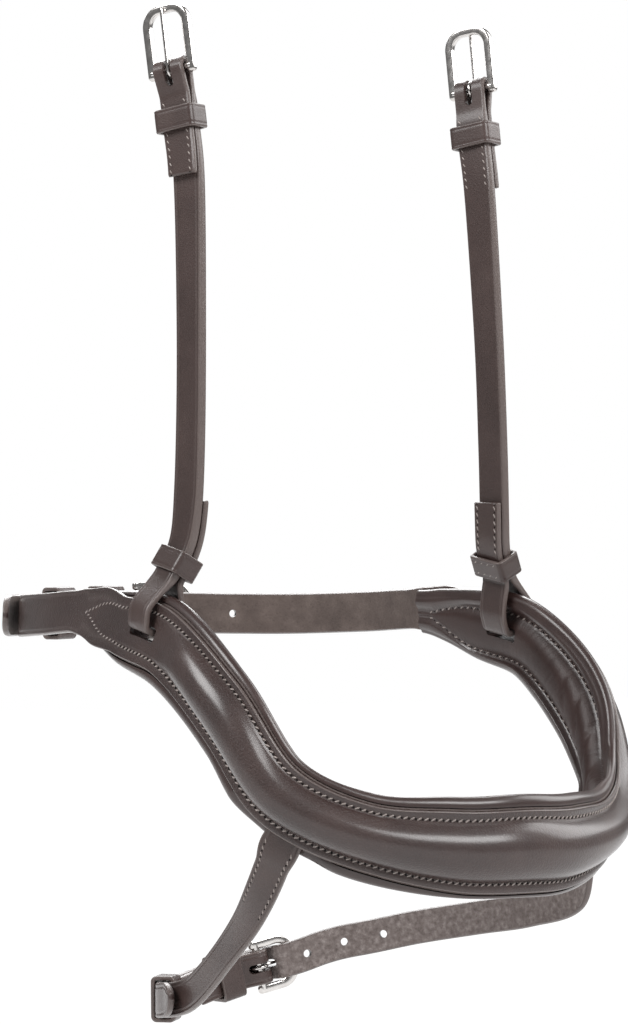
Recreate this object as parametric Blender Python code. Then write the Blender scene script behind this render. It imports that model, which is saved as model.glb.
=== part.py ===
import math

import bmesh
import bpy
import numpy as np
from mathutils import Matrix, Vector

# Padded noseband with a flash strap, hung on two buckled hanger straps.
# Metres, +Z up, the nose towards -Y. The origin is the middle of the padding's inner face on the nose.
# Each leather piece is cut and punched flat in (along, across, outward) and then bent along its path.

# Clearances
GAP = 0.0003
LAYER_GAP = 0.0004
LOOSE = 0.0006

# Ring of the noseband, right half from the nose to the back: x, y, z and lean of its face in degrees
RING_POINTS = [
    (0.0, -0.010, 0.0004, -6),
    (0.0265, -0.0045, 0.0004, -6),
    (0.0565, 0.0124, 0.0046, -7),
    (0.0775, 0.035, 0.019, -8),
    (0.0855, 0.056, 0.047, 0),
    (0.087, 0.0883, 0.0714, 12),
    (0.084, 0.1185, 0.0785, 14),
    (0.079, 0.149, 0.083, 15),
    (0.074, 0.183, 0.082, 8),
    (0.060, 0.219, 0.081, 2),
    (0.032, 0.242, 0.0815, 0),
    (0.0, 0.247, 0.082, 0),
]

# Band: distances from the nose along the ring
SLOT_PLACE = 0.188
PAD_END = 0.235
BASE_END = 0.231
DOME_END = 0.1775
FLASH_PLACE = 0.087
COVER_START = 0.205
COVER_END = 0.224

# Band outline: half height with its rolled edges, (distance, value)
HALF_HEIGHT = [(0.0, 0.0190), (0.03, 0.0184), (0.06, 0.0165), (0.078, 0.0161), (0.105, 0.0165),
               (0.135, 0.0178), (0.165, 0.0172), (0.185, 0.0164), (0.203, 0.0148), (0.222, 0.0112),
               (0.236, 0.0090)]
UPPER_ROLL = [(0.0, 0.0047), (0.03, 0.0043), (0.06, 0.0034), (0.09, 0.0025), (0.12, 0.0023), (0.15, 0.0028),
              (0.172, 0.0034), (0.203, 0.0032), (0.222, 0.0020), (0.236, 0.0016)]
LOWER_ROLL = [(0.0, 0.0018), (0.02, 0.0020), (0.045, 0.0034), (0.06, 0.0042), (0.09, 0.0044),
              (0.12, 0.0054), (0.15, 0.0056), (0.172, 0.0050), (0.19, 0.0036), (0.203, 0.0030),
              (0.222, 0.0020), (0.236, 0.0016)]
DOME_HEIGHT = [(0.0, 0.0070), (0.10, 0.0068), (0.14, 0.0060), (0.158, 0.0046), (0.171, 0.0012),
               (0.1775, 0.0)]
PAD_DEPTH = [(0.0, 0.0074), (0.10, 0.0066), (0.15, 0.0058), (0.18, 0.0044), (0.203, 0.0032), (0.236, 0.0012)]

BASE_THICKNESS = 0.0024
STRAP_THICKNESS = 0.0024
FACE_THICKNESS = 0.0015
FACE_SETBACK = 0.0008
MARGIN_WIDTH = 0.0034
ROLL_RADIUS = 0.0039
ROLL_LEAST = 0.0008
ROLL_POINTS = 4
SHELF = 0.3
SLOT_LENGTH = 0.017
SLOT_HEIGHT = 0.0054
SLOT_CORNER = 0.0012
SLOT_RAISE = 0.0008
LEATHER_EDGE = 0.0005
FACE_EDGE = 0.0004
PUNCH_CUT = 0.03

# Noseband strap and buckle at the back
STRAP_WIDTH = 0.016
BUCKLE_PLACE = 0.367
BILLET_TIP = 0.453
TURN_BACK = 0.027
FIXED_KEEPER_PAST = 0.0132
SLIDING_KEEPER_PAST = 0.0355
HOLE_PITCH = 0.0307
HOLE_WIDTH = 0.0030
HOLES_SPARE = 1
TIP_LENGTH = 0.012
TIP_RISE = [(0.044, 0.0), (0.022, 0.0012), (0.0, 0.0036)]
STRAP_FLARE = 0.010

# Flash strap: points from the right flank round the chin to the left flank: x, y, z
FLASH_POINTS = [
    (0.0775, 0.054, -0.0222),
    (0.0760, 0.0805, -0.0297),
    (0.070, 0.1035, -0.0335),
    (0.060, 0.128, -0.038),
    (0.049, 0.1425, -0.042),
    (0.038, 0.1525, -0.045),
    (0.025, 0.161, -0.0495),
    (0.0, 0.168, -0.056),
    (-0.022, 0.165, -0.0610),
    (-0.044, 0.149, -0.0625),
    (-0.054, 0.121, -0.0585),
    (-0.059, 0.1035, -0.0515),
    (-0.064, 0.0835, -0.040),
    (-0.068, 0.0655, -0.028),
    (-0.071, 0.052, -0.016),
]
FLASH_WIDTH = 0.013
FLASH_THICKNESS = 0.0024
FLASH_ROOT = (0.0060, 0.0100, 0.0140, 0.0180)
FLASH_LAID = (0.010, 0.024)
FLASH_TURNED = (0.012, 0.040)
FLASH_CHAPE_TURNED = (0.012, 0.080)
TAB_ROOM = 0.0025
TAB_SLOPE = 0.0125
FLASH_BUCKLE_NEAR = (0.011, 0.1665, -0.053)
FLASH_TIP_PAST = 0.090
FLASH_TURN_BACK = 0.030
FLASH_FIXED_KEEPER_PAST = 0.0143
FLASH_SLIDING_KEEPER_PAST = 0.052
FLASH_HOLE_PITCH = 0.0158
FLASH_HOLES_SPARE = 3
FLASH_TIP_RISE = [(0.030, 0.0), (0.012, 0.0010), (0.0, 0.0026)]

# Hanger straps, right one: points of the strap's middle above its loop, x, y, z and turn in degrees
HANGER_POINTS = [
    (0.0790, 0.1002, 0.0965, 0),
    (0.0740, 0.0980, 0.1060, 4),
    (0.0720, 0.0964, 0.118, 6),
    (0.0708, 0.0959, 0.144, 6),
    (0.0696, 0.0969, 0.186, 6),
    (0.0680, 0.1003, 0.240, 12),
    (0.0680, 0.1040, 0.262, 18),
    (0.0684, 0.1076, 0.2825, 20),
]
HANGER_WIDTH = 0.013
HANGER_THICKNESS = 0.0038
HANGER_SKIVED = 0.0024
HANGER_SKIVE = 0.012
HANGER_TOP_BACK = 0.040
HANGER_FOOT_BACK = 0.030
HANGER_TONGUE_SLOT = 0.022
HANGER_TOP_KEEPER_BELOW = 0.0185
HANGER_FOOT_KEEPER_UP = 0.0065
LOOP_CLEARANCE = 0.0013
LOOP_ROUND = 0.0008

# Buckles: inner width over the strap, rim, thickness and bar
RIM_WIDTH = 0.0032
RIM_THICKNESS = 0.0026
BAR_RADIUS = 0.0015
BUCKLE_LENGTH = 0.0245
FLASH_BUCKLE_LENGTH = 0.0155
HEEL = 0.0026
BUCKLE_CORNER = 0.0078
TONGUE_SLOT = 0.019
BACK_STARTS = 0.0062
TONGUE_WIDTH = 0.0022
TONGUE_THICKNESS = 0.0013

# Keepers
KEEPER_WALL = 0.0016
KEEPER_LENGTH = 0.010
HANGER_KEEPER_LENGTH = 0.0085

# Facet counts
FOLD_STEP = math.radians(24)
CURVE_STEP = math.radians(14)
BAR_SIDES = 14
CORNER_STEPS = 4
FACE_SHARES = [-1.0, -0.9, -0.72, -0.4, 0.0, 0.4, 0.72, 0.9, 1.0]
TIP_SHARES = (1.0, 0.6, 0.32, 0.14, 0.05)
BAND_STATION = 0.0105
STRAP_STATION = 0.012
HANGER_STATION = 0.014
STATION_APART = 0.0012

# Distances kept between a join and the nearest cross section
NEAR_JOIN = 0.003
NEAR_BAR = 0.004
NEAR_FOLD = 0.010
NEAR_RIM = 0.008

LEATHER = (0.075, 0.052, 0.048, 1.0)
LEATHER_INSIDE = (0.115, 0.088, 0.080, 1.0)
PADDING = (0.30, 0.27, 0.24, 1.0)
STEEL = (0.62, 0.60, 0.58, 1.0)


def clear_scene():
    for obj in list(bpy.data.objects):
        bpy.data.objects.remove(obj, do_unlink=True)


def new_collection(name):
    collection = bpy.data.collections.new(name)
    bpy.context.scene.collection.children.link(collection)
    return collection


def material(name, colour, roughness, metallic=0.0):
    # One Principled material for each sub-part
    made = bpy.data.materials.new(name)
    made.use_nodes = True
    shader = made.node_tree.nodes["Principled BSDF"]
    shader.inputs["Base Color"].default_value = colour
    shader.inputs["Roughness"].default_value = roughness
    shader.inputs["Metallic"].default_value = metallic
    return made


# Smooth values and curves


def along(table, distance):
    # Value at a distance from a short table, eased so that the outline has no corners
    places = np.array([row[0] for row in table])
    values = np.array([row[1] for row in table])
    slopes = np.diff(values) / np.diff(places)
    tangents = np.zeros(len(values))
    for k in range(1, len(values) - 1):
        if slopes[k - 1] * slopes[k] > 0:
            tangents[k] = 2 * slopes[k - 1] * slopes[k] / (slopes[k - 1] + slopes[k])
    d = min(max(distance, places[0]), places[-1])
    k = min(int(np.searchsorted(places, d, side="right")) - 1, len(slopes) - 1)
    width = places[k + 1] - places[k]
    u = (d - places[k]) / width
    h00 = (1 + 2 * u) * (1 - u) ** 2
    h10 = u * (1 - u) ** 2
    h01 = u * u * (3 - 2 * u)
    h11 = u * u * (u - 1)
    value = h00 * values[k] + h10 * width * tangents[k]
    return float(value + h01 * values[k + 1] + h11 * width * tangents[k + 1])


def ease(value, low, high):
    # 0 below low, 1 above high, smooth between them
    u = min(max((value - low) / (high - low), 0.0), 1.0)
    return u * u * (3 - 2 * u)


def unit(rows):
    return rows / np.linalg.norm(rows, axis=-1, keepdims=True)


def spline(points, closed, per_span=40):
    # Catmull-Rom curve through the points
    points = np.array(points, dtype=float)
    if closed:
        padded = np.vstack([points[-1], points, points[0], points[1]])
    else:
        padded = np.vstack([2 * points[0] - points[1], points, 2 * points[-1] - points[-2]])
    rows = []
    for k in range(len(padded) - 3):
        a, b, c, d = padded[k:k + 4]
        for u in np.linspace(0, 1, per_span, endpoint=False):
            rows.append(0.5 * (2 * b + (c - a) * u + (2 * a - 5 * b + 4 * c - d) * u * u
                               + (3 * b - 3 * c + d - a) * u ** 3))
    if not closed:
        rows.append(padded[-2])
    return np.array(rows)


def running_mean(rows, reach, closed):
    # Rows averaged over their neighbours, with the ends of an open curve kept
    if closed:
        padded = np.vstack([rows[-reach:], rows, rows[:reach]])
    else:
        head = 2 * rows[0] - rows[reach:0:-1]
        tail = 2 * rows[-1] - rows[-2:-reach - 2:-1]
        padded = np.vstack([head, rows, tail])
    kernel = np.hanning(2 * reach + 3)[1:-1]
    kernel /= kernel.sum()
    return np.stack([np.convolve(padded[:, k], kernel, mode="valid") for k in range(rows.shape[1])], axis=1)


class Path:
    # A curve with its own length, direction, width direction and outward face direction

    def __init__(self, points, hints, hint_is, closed=False, spacing=0.0005, blur=0.002):
        points = np.array(points, dtype=float)
        hints = np.array(hints, dtype=float)
        rows = np.hstack([points, hints])
        if closed:
            rows = np.vstack([rows, rows[:1]])
        steps = np.linalg.norm(np.diff(rows[:, :3], axis=0), axis=1)
        lengths = np.concatenate([[0.0], np.cumsum(steps)])
        count = max(int(lengths[-1] / spacing), 8)
        places = np.linspace(0, lengths[-1], count + 1)
        rows = np.stack([np.interp(places, lengths, rows[:, k]) for k in range(6)], axis=1)
        if closed:
            rows = rows[:-1]
        rows = running_mean(rows, max(int(blur / spacing), 1), closed)
        self.closed = closed
        self.points = rows[:, :3]
        if closed:
            ring = np.vstack([self.points[-1:], self.points, self.points[:1]])
            self.ahead = unit(ring[2:] - ring[:-2])
            loop = np.vstack([self.points, self.points[:1]])
        else:
            self.ahead = unit(np.gradient(self.points, axis=0))
            loop = self.points
        steps = np.linalg.norm(np.diff(loop, axis=0), axis=1)
        self.places = np.concatenate([[0.0], np.cumsum(steps)])
        self.length = float(self.places[-1])
        hint = rows[:, 3:]
        hint = unit(hint - (hint * self.ahead).sum(axis=1, keepdims=True) * self.ahead)
        if hint_is == "face":
            self.face = hint
            self.across = np.cross(self.face, self.ahead)
        else:
            self.across = hint
            self.face = np.cross(self.ahead, self.across)

    def read(self, field, s):
        # One of the fields at a distance along the path
        if self.closed:
            s = s % self.length
            field = np.vstack([field, field[:1]])
        s = min(max(s, 0.0), self.length)
        k = min(int(np.searchsorted(self.places, s, side="right")) - 1, len(self.places) - 2)
        u = (s - self.places[k]) / (self.places[k + 1] - self.places[k])
        return field[k] * (1 - u) + field[k + 1] * u

    def frame(self, s):
        # Point, direction, width direction and face direction
        return (self.read(self.points, s), unit(self.read(self.ahead, s)),
                unit(self.read(self.across, s)), unit(self.read(self.face, s)))

    def place(self, s, t=0.0, n=0.0):
        point, ahead, across, face = self.frame(s)
        if not self.closed:
            point = point + ahead * (s - min(max(s, 0.0), self.length))
        return point + across * t + face * n

    def matrix(self, s, t=0.0, n=0.0):
        # Local axes along, across and outward, at a point of the path
        point, ahead, across, face = self.frame(s)
        rows = np.eye(4)
        rows[:3, 0] = ahead
        rows[:3, 1] = np.cross(face, ahead)
        rows[:3, 2] = face
        rows[:3, 3] = point + across * t + face * n
        return Matrix(rows.tolist())

    def nearest(self, point):
        # Distance along the path of its closest point
        gaps = np.linalg.norm(self.points - np.array(point), axis=1)
        return float(self.places[int(gaps.argmin())])

    def stations(self, start, end, longest, step, extra=()):
        # Places for cross sections, closer where the path turns
        found = [start]
        turned = 0.0
        last = self.frame(start)
        for s in np.arange(start + 0.0005, end, 0.0005):
            now = self.frame(s)
            turned += math.acos(min(1.0, float(np.dot(last[1], now[1]))))
            turned += math.acos(min(1.0, float(np.dot(last[2], now[2]))))
            last = now
            if s - found[-1] >= longest or turned >= step:
                found.append(float(s))
                turned = 0.0
        found.append(end)
        for place in extra:
            if start < place < end:
                found = [s for s in found if abs(s - place) > STATION_APART or s in (start, end)]
                found.append(place)
        return sorted(set(found))


def facing_path(points, leans, closed):
    # Path whose face looks outward from the loop, tipped up by the lean
    rows = np.hstack([np.array(points), np.array(leans)[:, None]])
    dense = spline(rows, closed)
    lean = np.radians(dense[:, 3])
    line = dense[:, :3]
    if closed:
        ahead = np.roll(line, -1, axis=0) - np.roll(line, 1, axis=0)
    else:
        ahead = np.gradient(line, axis=0)
    level = np.stack([ahead[:, 1], -ahead[:, 0], np.zeros(len(ahead))], axis=1)
    level = unit(level)
    hints = level * np.cos(lean)[:, None] + np.array([0, 0, 1.0]) * np.sin(lean)[:, None]
    return Path(line, hints, "face", closed=closed, blur=0.006)


# Building blocks


def add_object(name, mesh, collection, skin):
    obj = bpy.data.objects.new(name, mesh)
    mesh.name = name
    collection.objects.link(obj)
    if skin is not None:
        mesh.materials.clear()
        mesh.materials.append(skin)
    return obj


def strip(name, runs):
    # Closed body lofted through rings of points, flat in (along, across, outward). Each run is a list of
    # stations with its section; a run may have another number of points than the one before it.
    bm = bmesh.new()
    ends = []
    for stations, section in runs:
        rings = [section(s) for s in stations]
        columns = len(rings[0])
        steps = len(stations) - 1
        made = bmesh.ops.create_grid(bm, x_segments=steps, y_segments=columns, size=1.0)["verts"]
        for vert in made:
            i = round((vert.co.x + 1) / 2 * steps)
            j = round((vert.co.y + 1) / 2 * columns) % columns
            t, n = rings[i][j]
            vert.co = (stations[i], t, n)
        bmesh.ops.remove_doubles(bm, verts=made, dist=0.000001)
        ends.append((stations[0], stations[-1]))
    for before, after in zip(ends[:-1], ends[1:]):
        rim = [edge for edge in bm.edges if edge.is_boundary
               and (all(abs(v.co.x - before[1]) < 1e-7 for v in edge.verts)
                    or all(abs(v.co.x - after[0]) < 1e-7 for v in edge.verts))]
        bmesh.ops.bridge_loops(bm, edges=rim)
    bmesh.ops.holes_fill(bm, edges=[edge for edge in bm.edges if edge.is_boundary], sides=0)
    bmesh.ops.recalc_face_normals(bm, faces=bm.faces)
    mesh = bpy.data.meshes.new(name)
    bm.to_mesh(mesh)
    bm.free()
    return mesh


def strap_ring(half, inner, outer, edge=LEATHER_EDGE):
    # Cross section of a strap with eased edges
    edge = min(edge, 0.45 * (outer - inner), 0.45 * half)
    return [(-half, inner + edge), (-half + edge, inner), (half - edge, inner), (half, inner + edge),
            (half, outer - edge), (half - edge, outer), (-half + edge, outer), (-half, outer - edge)]


def punch(name, place, length, width, cutters, corner=None):
    # Upright cutter with rounded corners, for a hole or a slot in flat leather
    radius = width / 2 if corner is None else corner
    reach_x = max(length / 2 - radius, 0.0)
    reach_y = max(width / 2 - radius, 0.0)
    bm = bmesh.new()
    sides = 12
    turn = Matrix.Rotation(math.pi / sides, 4, "Z")
    bmesh.ops.create_cone(bm, cap_ends=True, segments=sides, radius1=radius, radius2=radius, depth=PUNCH_CUT,
                          matrix=turn)
    for vert in bm.verts:
        vert.co.x += place[0] + math.copysign(reach_x, vert.co.x)
        vert.co.y += place[1] + math.copysign(reach_y, vert.co.y)
    mesh = bpy.data.meshes.new(name)
    bm.to_mesh(mesh)
    bm.free()
    obj = add_object(name, mesh, cutters, None)
    obj.display_type = "WIRE"
    obj.hide_render = True
    return obj


def cut(obj, tools, operation="DIFFERENCE"):
    # Boolean with each tool, applied to the object's mesh
    for tool in tools:
        modifier = obj.modifiers.new(tool.name, "BOOLEAN")
        modifier.object = tool
        modifier.operation = operation
        modifier.solver = "EXACT"
    bpy.context.view_layer.update()
    skins = list(obj.data.materials)
    mesh = bpy.data.meshes.new_from_object(obj.evaluated_get(bpy.context.evaluated_depsgraph_get()))
    obj.modifiers.clear()
    obj.data = mesh
    mesh.materials.clear()
    for skin in skins:
        mesh.materials.append(skin)


def bend(obj, place):
    # Moves each point of flat leather to its place on the bent piece
    for vert in obj.data.vertices:
        vert.co = Vector(place(vert.co.x, vert.co.y, vert.co.z))
    finish_mesh(obj)


def finish_mesh(obj):
    bm = bmesh.new()
    bm.from_mesh(obj.data)
    bmesh.ops.remove_doubles(bm, verts=bm.verts, dist=0.000005)
    bmesh.ops.triangulate(bm, faces=[face for face in bm.faces if len(face.verts) > 4])
    bmesh.ops.recalc_face_normals(bm, faces=bm.faces)
    bm.to_mesh(obj.data)
    bm.free()
    obj.data.shade_smooth()
    obj.data.set_sharp_from_angle(angle=math.radians(35))


def flat_outline(name, outlines, thickness, bevel):
    # Plate from closed outlines in a plane, with eased rims
    curve = bpy.data.curves.new(name, "CURVE")
    curve.dimensions = "2D"
    curve.fill_mode = "BOTH"
    curve.extrude = thickness / 2 - bevel
    curve.bevel_depth = bevel
    curve.bevel_resolution = 0
    curve.offset = -bevel
    for outline in outlines:
        line = curve.splines.new("POLY")
        line.points.add(len(outline) - 1)
        for point, (x, y) in zip(line.points, outline):
            point.co = (x, y, 0.0, 1.0)
        line.use_cyclic_u = True
    draft = bpy.data.objects.new(name, curve)
    bpy.context.scene.collection.objects.link(draft)
    bpy.context.view_layer.update()
    mesh = bpy.data.meshes.new_from_object(draft.evaluated_get(bpy.context.evaluated_depsgraph_get()))
    bpy.data.objects.remove(draft, do_unlink=True)
    bm = bmesh.new()
    bm.from_mesh(mesh)
    bmesh.ops.remove_doubles(bm, verts=bm.verts, dist=0.00001)
    bmesh.ops.recalc_face_normals(bm, faces=bm.faces)
    bm.to_mesh(mesh)
    bm.free()
    return mesh


def arc(cx, cy, radius, start, end, steps):
    angles = np.radians(np.linspace(start, end, steps + 1))
    return [(cx + radius * math.cos(angle), cy + radius * math.sin(angle)) for angle in angles]


def rounded_box(half_x, half_y, radius, steps):
    points = arc(half_x - radius, half_y - radius, radius, 0, 90, steps)
    points += arc(-half_x + radius, half_y - radius, radius, 90, 180, steps)
    points += arc(-half_x + radius, -half_y + radius, radius, 180, 270, steps)
    points += arc(half_x - radius, -half_y + radius, radius, 270, 360, steps)
    return points


def buckle_frame(name, inner_width, length, collection, skin, cutters):
    # Open U of flat metal with a bar near its heels; the bar lies along the local Y axis
    half = inner_width / 2 + RIM_WIDTH
    inner_half = inner_width / 2
    corner = min(BUCKLE_CORNER, 0.9 * half)
    inner_corner = max(corner - RIM_WIDTH, 0.001)
    top = length - RIM_WIDTH
    heel = RIM_WIDTH / 2
    outline = arc(-HEEL + heel, -inner_half - heel, heel, 90, 270, 4)
    outline += arc(length - corner, corner - half, corner, 270, 360, 5)
    outline += arc(length - corner, half - corner, corner, 0, 90, 5)
    outline += arc(-HEEL + heel, inner_half + heel, heel, 90, 270, 4)
    outline += arc(top - inner_corner, inner_half - inner_corner, inner_corner, 90, 0, 4)
    outline += arc(top - inner_corner, inner_corner - inner_half, inner_corner, 0, -90, 4)
    mesh = flat_outline(name, [outline], RIM_THICKNESS, 0.0004)
    obj = add_object(name, mesh, collection, skin)
    bm = bmesh.new()
    bmesh.ops.create_cone(bm, cap_ends=True, segments=BAR_SIDES, radius1=BAR_RADIUS, radius2=BAR_RADIUS,
                          depth=inner_width + RIM_WIDTH, matrix=Matrix.Rotation(math.pi / 2, 4, "X"))
    bar_mesh = bpy.data.meshes.new(name + "_bar")
    bm.to_mesh(bar_mesh)
    bm.free()
    bar = add_object(name + "_bar", bar_mesh, cutters, None)
    bar.display_type = "WIRE"
    bar.hide_render = True
    cut(obj, [bar], "UNION")
    finish_mesh(obj)
    return obj


def tongue(name, length, collection, skin):
    # Ring round the bar with a flat prong that rests on the rim; turned on the local Y axis
    bore = BAR_RADIUS + GAP
    outer = bore + TONGUE_THICKNESS
    base = RIM_THICKNESS / 2 + GAP
    top = base + TONGUE_THICKNESS
    end = length - 0.35 * RIM_WIDTH
    start = math.degrees(math.asin(min(base / outer, 0.95)))
    outline = arc(0, 0, outer, 105, 360 + start, 12)
    outline += [(end - 0.001, base), (end, base + 0.4 * TONGUE_THICKNESS), (end - 0.0004, top), (0.003, top)]
    hole = arc(0, 0, bore, 0, 360, BAR_SIDES)[:-1]
    mesh = flat_outline(name, [outline, hole], TONGUE_WIDTH, 0.0002)
    mesh.transform(Matrix.Rotation(math.pi / 2, 4, "X"))
    obj = add_object(name, mesh, collection, skin)
    finish_mesh(obj)
    return obj


def keeper(name, width, height, length, collection, skin):
    # Leather loop round straps of a width and a height: local X along the strap, Y across it, Z outward
    half_y = width / 2 + LOOSE
    half_z = height / 2 + LOOSE
    outer = rounded_box(half_y + KEEPER_WALL, half_z + KEEPER_WALL, KEEPER_WALL + 0.0006, CORNER_STEPS)
    inner = rounded_box(half_y, half_z, 0.0006, 2)
    mesh = flat_outline(name, [outer, inner], length, 0.0003)
    mesh.transform(Matrix.Rotation(math.pi / 2, 4, "Z") @ Matrix.Rotation(math.pi / 2, 4, "X"))
    obj = add_object(name, mesh, collection, skin)
    finish_mesh(obj)
    return obj


# Noseband band


def half_height(d):
    return along(HALF_HEIGHT, d)


def base_edge(d, side):
    # Edge of the base band, inside the rolled edge of the lining
    return half_height(d) - along(UPPER_ROLL if side > 0 else LOWER_ROLL, d)


def leather_edge(d, side):
    # Edge of the outer leather: a little inside the base's edge, and over the roll at the cheeks
    inner = base_edge(d, side) - FACE_SETBACK
    covered = ease(d, COVER_START, COVER_END)
    return inner * (1 - covered) + half_height(d) * covered


def band_ring(s):
    d = abs(s)
    top = base_edge(d, 1)
    bottom = -base_edge(d, -1)
    middle = (top + bottom) / 2
    ring = [(t + middle, n) for t, n in strap_ring((top - bottom) / 2, -BASE_THICKNESS, 0.0)]
    ring.insert(6, (SHELF * bottom, 0.0))
    ring.insert(6, (SHELF * top, 0.0))
    ring.insert(2, (SHELF * top, -BASE_THICKNESS))
    ring.insert(2, (SHELF * bottom, -BASE_THICKNESS))
    return ring


def dome_rise(d, share):
    # Height of the raised face at a share of its half width, 0 in the middle and 1 at the stitching
    return along(DOME_HEIGHT, d) * (1 - min(abs(share), 1.0) ** 2.4) ** 0.8


def face_thickness(d):
    return STRAP_THICKNESS + (FACE_THICKNESS - STRAP_THICKNESS) * (1 - ease(d, SLOT_PLACE - 0.01, PAD_END))


def face_ring(s):
    # Outer leather over the band, relative to the base's outer face
    d = abs(s)
    top = leather_edge(d, 1)
    bottom = -leather_edge(d, -1)
    middle = (top + bottom) / 2
    half = (top - bottom) / 2
    thick = face_thickness(d)
    dome_half = max(half - MARGIN_WIDTH, 0.4 * half)
    upper = [(share * dome_half, GAP + thick + dome_rise(d, share)) for share in FACE_SHARES]
    foot = dome_half - 0.3 * thick
    edge = FACE_EDGE
    lower = [(share * foot, GAP + dome_rise(d, share)) for share in FACE_SHARES[1:-1:2]]
    ring = [(-half, GAP + edge), (-half + edge, GAP), (-foot, GAP)] + lower
    ring += [(foot, GAP), (half - edge, GAP), (half, GAP + edge)]
    ring += [(half, GAP + thick - edge), (half - edge, GAP + thick)] + upper[::-1]
    ring += [(-half + edge, GAP + thick), (-half, GAP + thick - edge)]
    return [(t + middle, n) for t, n in ring]


def core_ring(s):
    # Filling under the raised face
    d = abs(s)
    top = leather_edge(d, 1)
    bottom = -leather_edge(d, -1)
    middle = (top + bottom) / 2
    half = (top - bottom) / 2
    dome_half = max(half - MARGIN_WIDTH, 0.4 * half) - 0.3 * face_thickness(d) - 2 * GAP
    low = LAYER_GAP
    points = [(-0.93 * dome_half, low), (SHELF * bottom - middle, low), (SHELF * top - middle, low),
              (0.93 * dome_half, low)]
    for share in (0.86, 0.4, -0.4, -0.86):
        rise = max(0.93 * dome_rise(d, min(abs(share) * 1.04, 1.0)) - GAP, low + GAP)
        points.append((share * dome_half, rise))
    return [(t + middle, n) for t, n in points]


def tab_share(d):
    # 1 where the flash strap's end lies between the base and the lining, 0 away from it
    away = abs(d - FLASH_PLACE)
    return 1 - ease(away, 0.5 * FLASH_WIDTH + TAB_ROOM, 0.5 * FLASH_WIDTH + TAB_ROOM + TAB_SLOPE)


def pad_ring(s):
    # Lining cross section: flat against the band, a roll past each edge, cushioned towards the horse
    d = abs(s)
    seat = -(BASE_THICKNESS + GAP)
    depth = along(PAD_DEPTH, d)
    sides = []
    for side in (1, -1):
        sunk = tab_share(d) * (FLASH_THICKNESS + 2 * GAP) if side < 0 else 0.0
        edge = base_edge(d, side)
        reach = half_height(d) - 0.0004
        wall = edge + GAP
        wide = min(0.62 * (reach - edge) + ROLL_LEAST, ROLL_RADIUS)
        roll_top = -0.0001 - 1.85 * sunk
        roll_bottom = min(roll_top - 2 * wide * (1 - 0.3 * tab_share(d)), seat - 1.5 * sunk - 0.0009)
        tall = (roll_top - roll_bottom) / 2
        centre_t = reach - wide
        centre_n = (roll_top + roll_bottom) / 2
        start = math.degrees(math.acos(min(max((wall - centre_t) / wide, -0.95), 0.8)))
        points = [(SHELF * edge, seat - sunk), (wall, seat - sunk)]
        for a in np.radians(np.linspace(start, -90, ROLL_POINTS)):
            points.append((centre_t + wide * math.cos(a), centre_n + tall * math.sin(a)))
        groove = (centre_t - 1.2 * wide, min(centre_n - 0.5 * tall, seat - sunk - 0.0008))
        points.append((max(groove[0], 0.5 * edge), groove[1]))
        points.append((0.42 * edge, min(seat - depth, seat - sunk - 0.0008)))
        sides.append([(side * t, n) for t, n in points])
    return sides[0] + sides[1][::-1]


def make_slots(obj, places, cutters):
    tools = []
    for label, place in zip(("left", "right"), places):
        middle = (place, SLOT_RAISE, 0.0)
        name = obj.name + "_slot_" + label
        tools.append(punch(name, middle, SLOT_LENGTH, SLOT_HEIGHT, cutters, SLOT_CORNER))
    cut(obj, tools)


def make_band(ring, places, parts, cutters, skins):
    # Base, core and lining on the ring path; they share their cross sections with the outer leather
    def within(end):
        return [s for s in places if abs(s) < end - NEAR_JOIN]

    base_places = [-BASE_END] + within(BASE_END) + [BASE_END]
    base = add_object("base_band", strip("base_band", [(base_places, band_ring)]), parts, skins["leather"])
    core_end = DOME_END - 0.010
    core_places = [-core_end] + within(core_end) + [core_end]
    core_mesh = strip("raised_core", [(core_places, core_ring)])
    core = add_object("raised_core", core_mesh, parts, skins["padding"])
    pad_places = [-PAD_END] + within(PAD_END) + [PAD_END]
    pad = add_object("lining_pad", strip("lining_pad", [(pad_places, pad_ring)]), parts, skins["lining"])
    for obj in (base, pad):
        make_slots(obj, (-SLOT_PLACE, SLOT_PLACE), cutters)
    for obj in (base, core, pad):
        bend(obj, ring.place)


# Buckled ends of a strap that closes on itself


def pointed(half, from_tip):
    # Half width of a strap near its pointed tip
    u = min(max(from_tip / TIP_LENGTH, 0.0), 1.0)
    return max(half * (1 - (1 - u) ** 2) ** 0.62, 0.0008)


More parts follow.
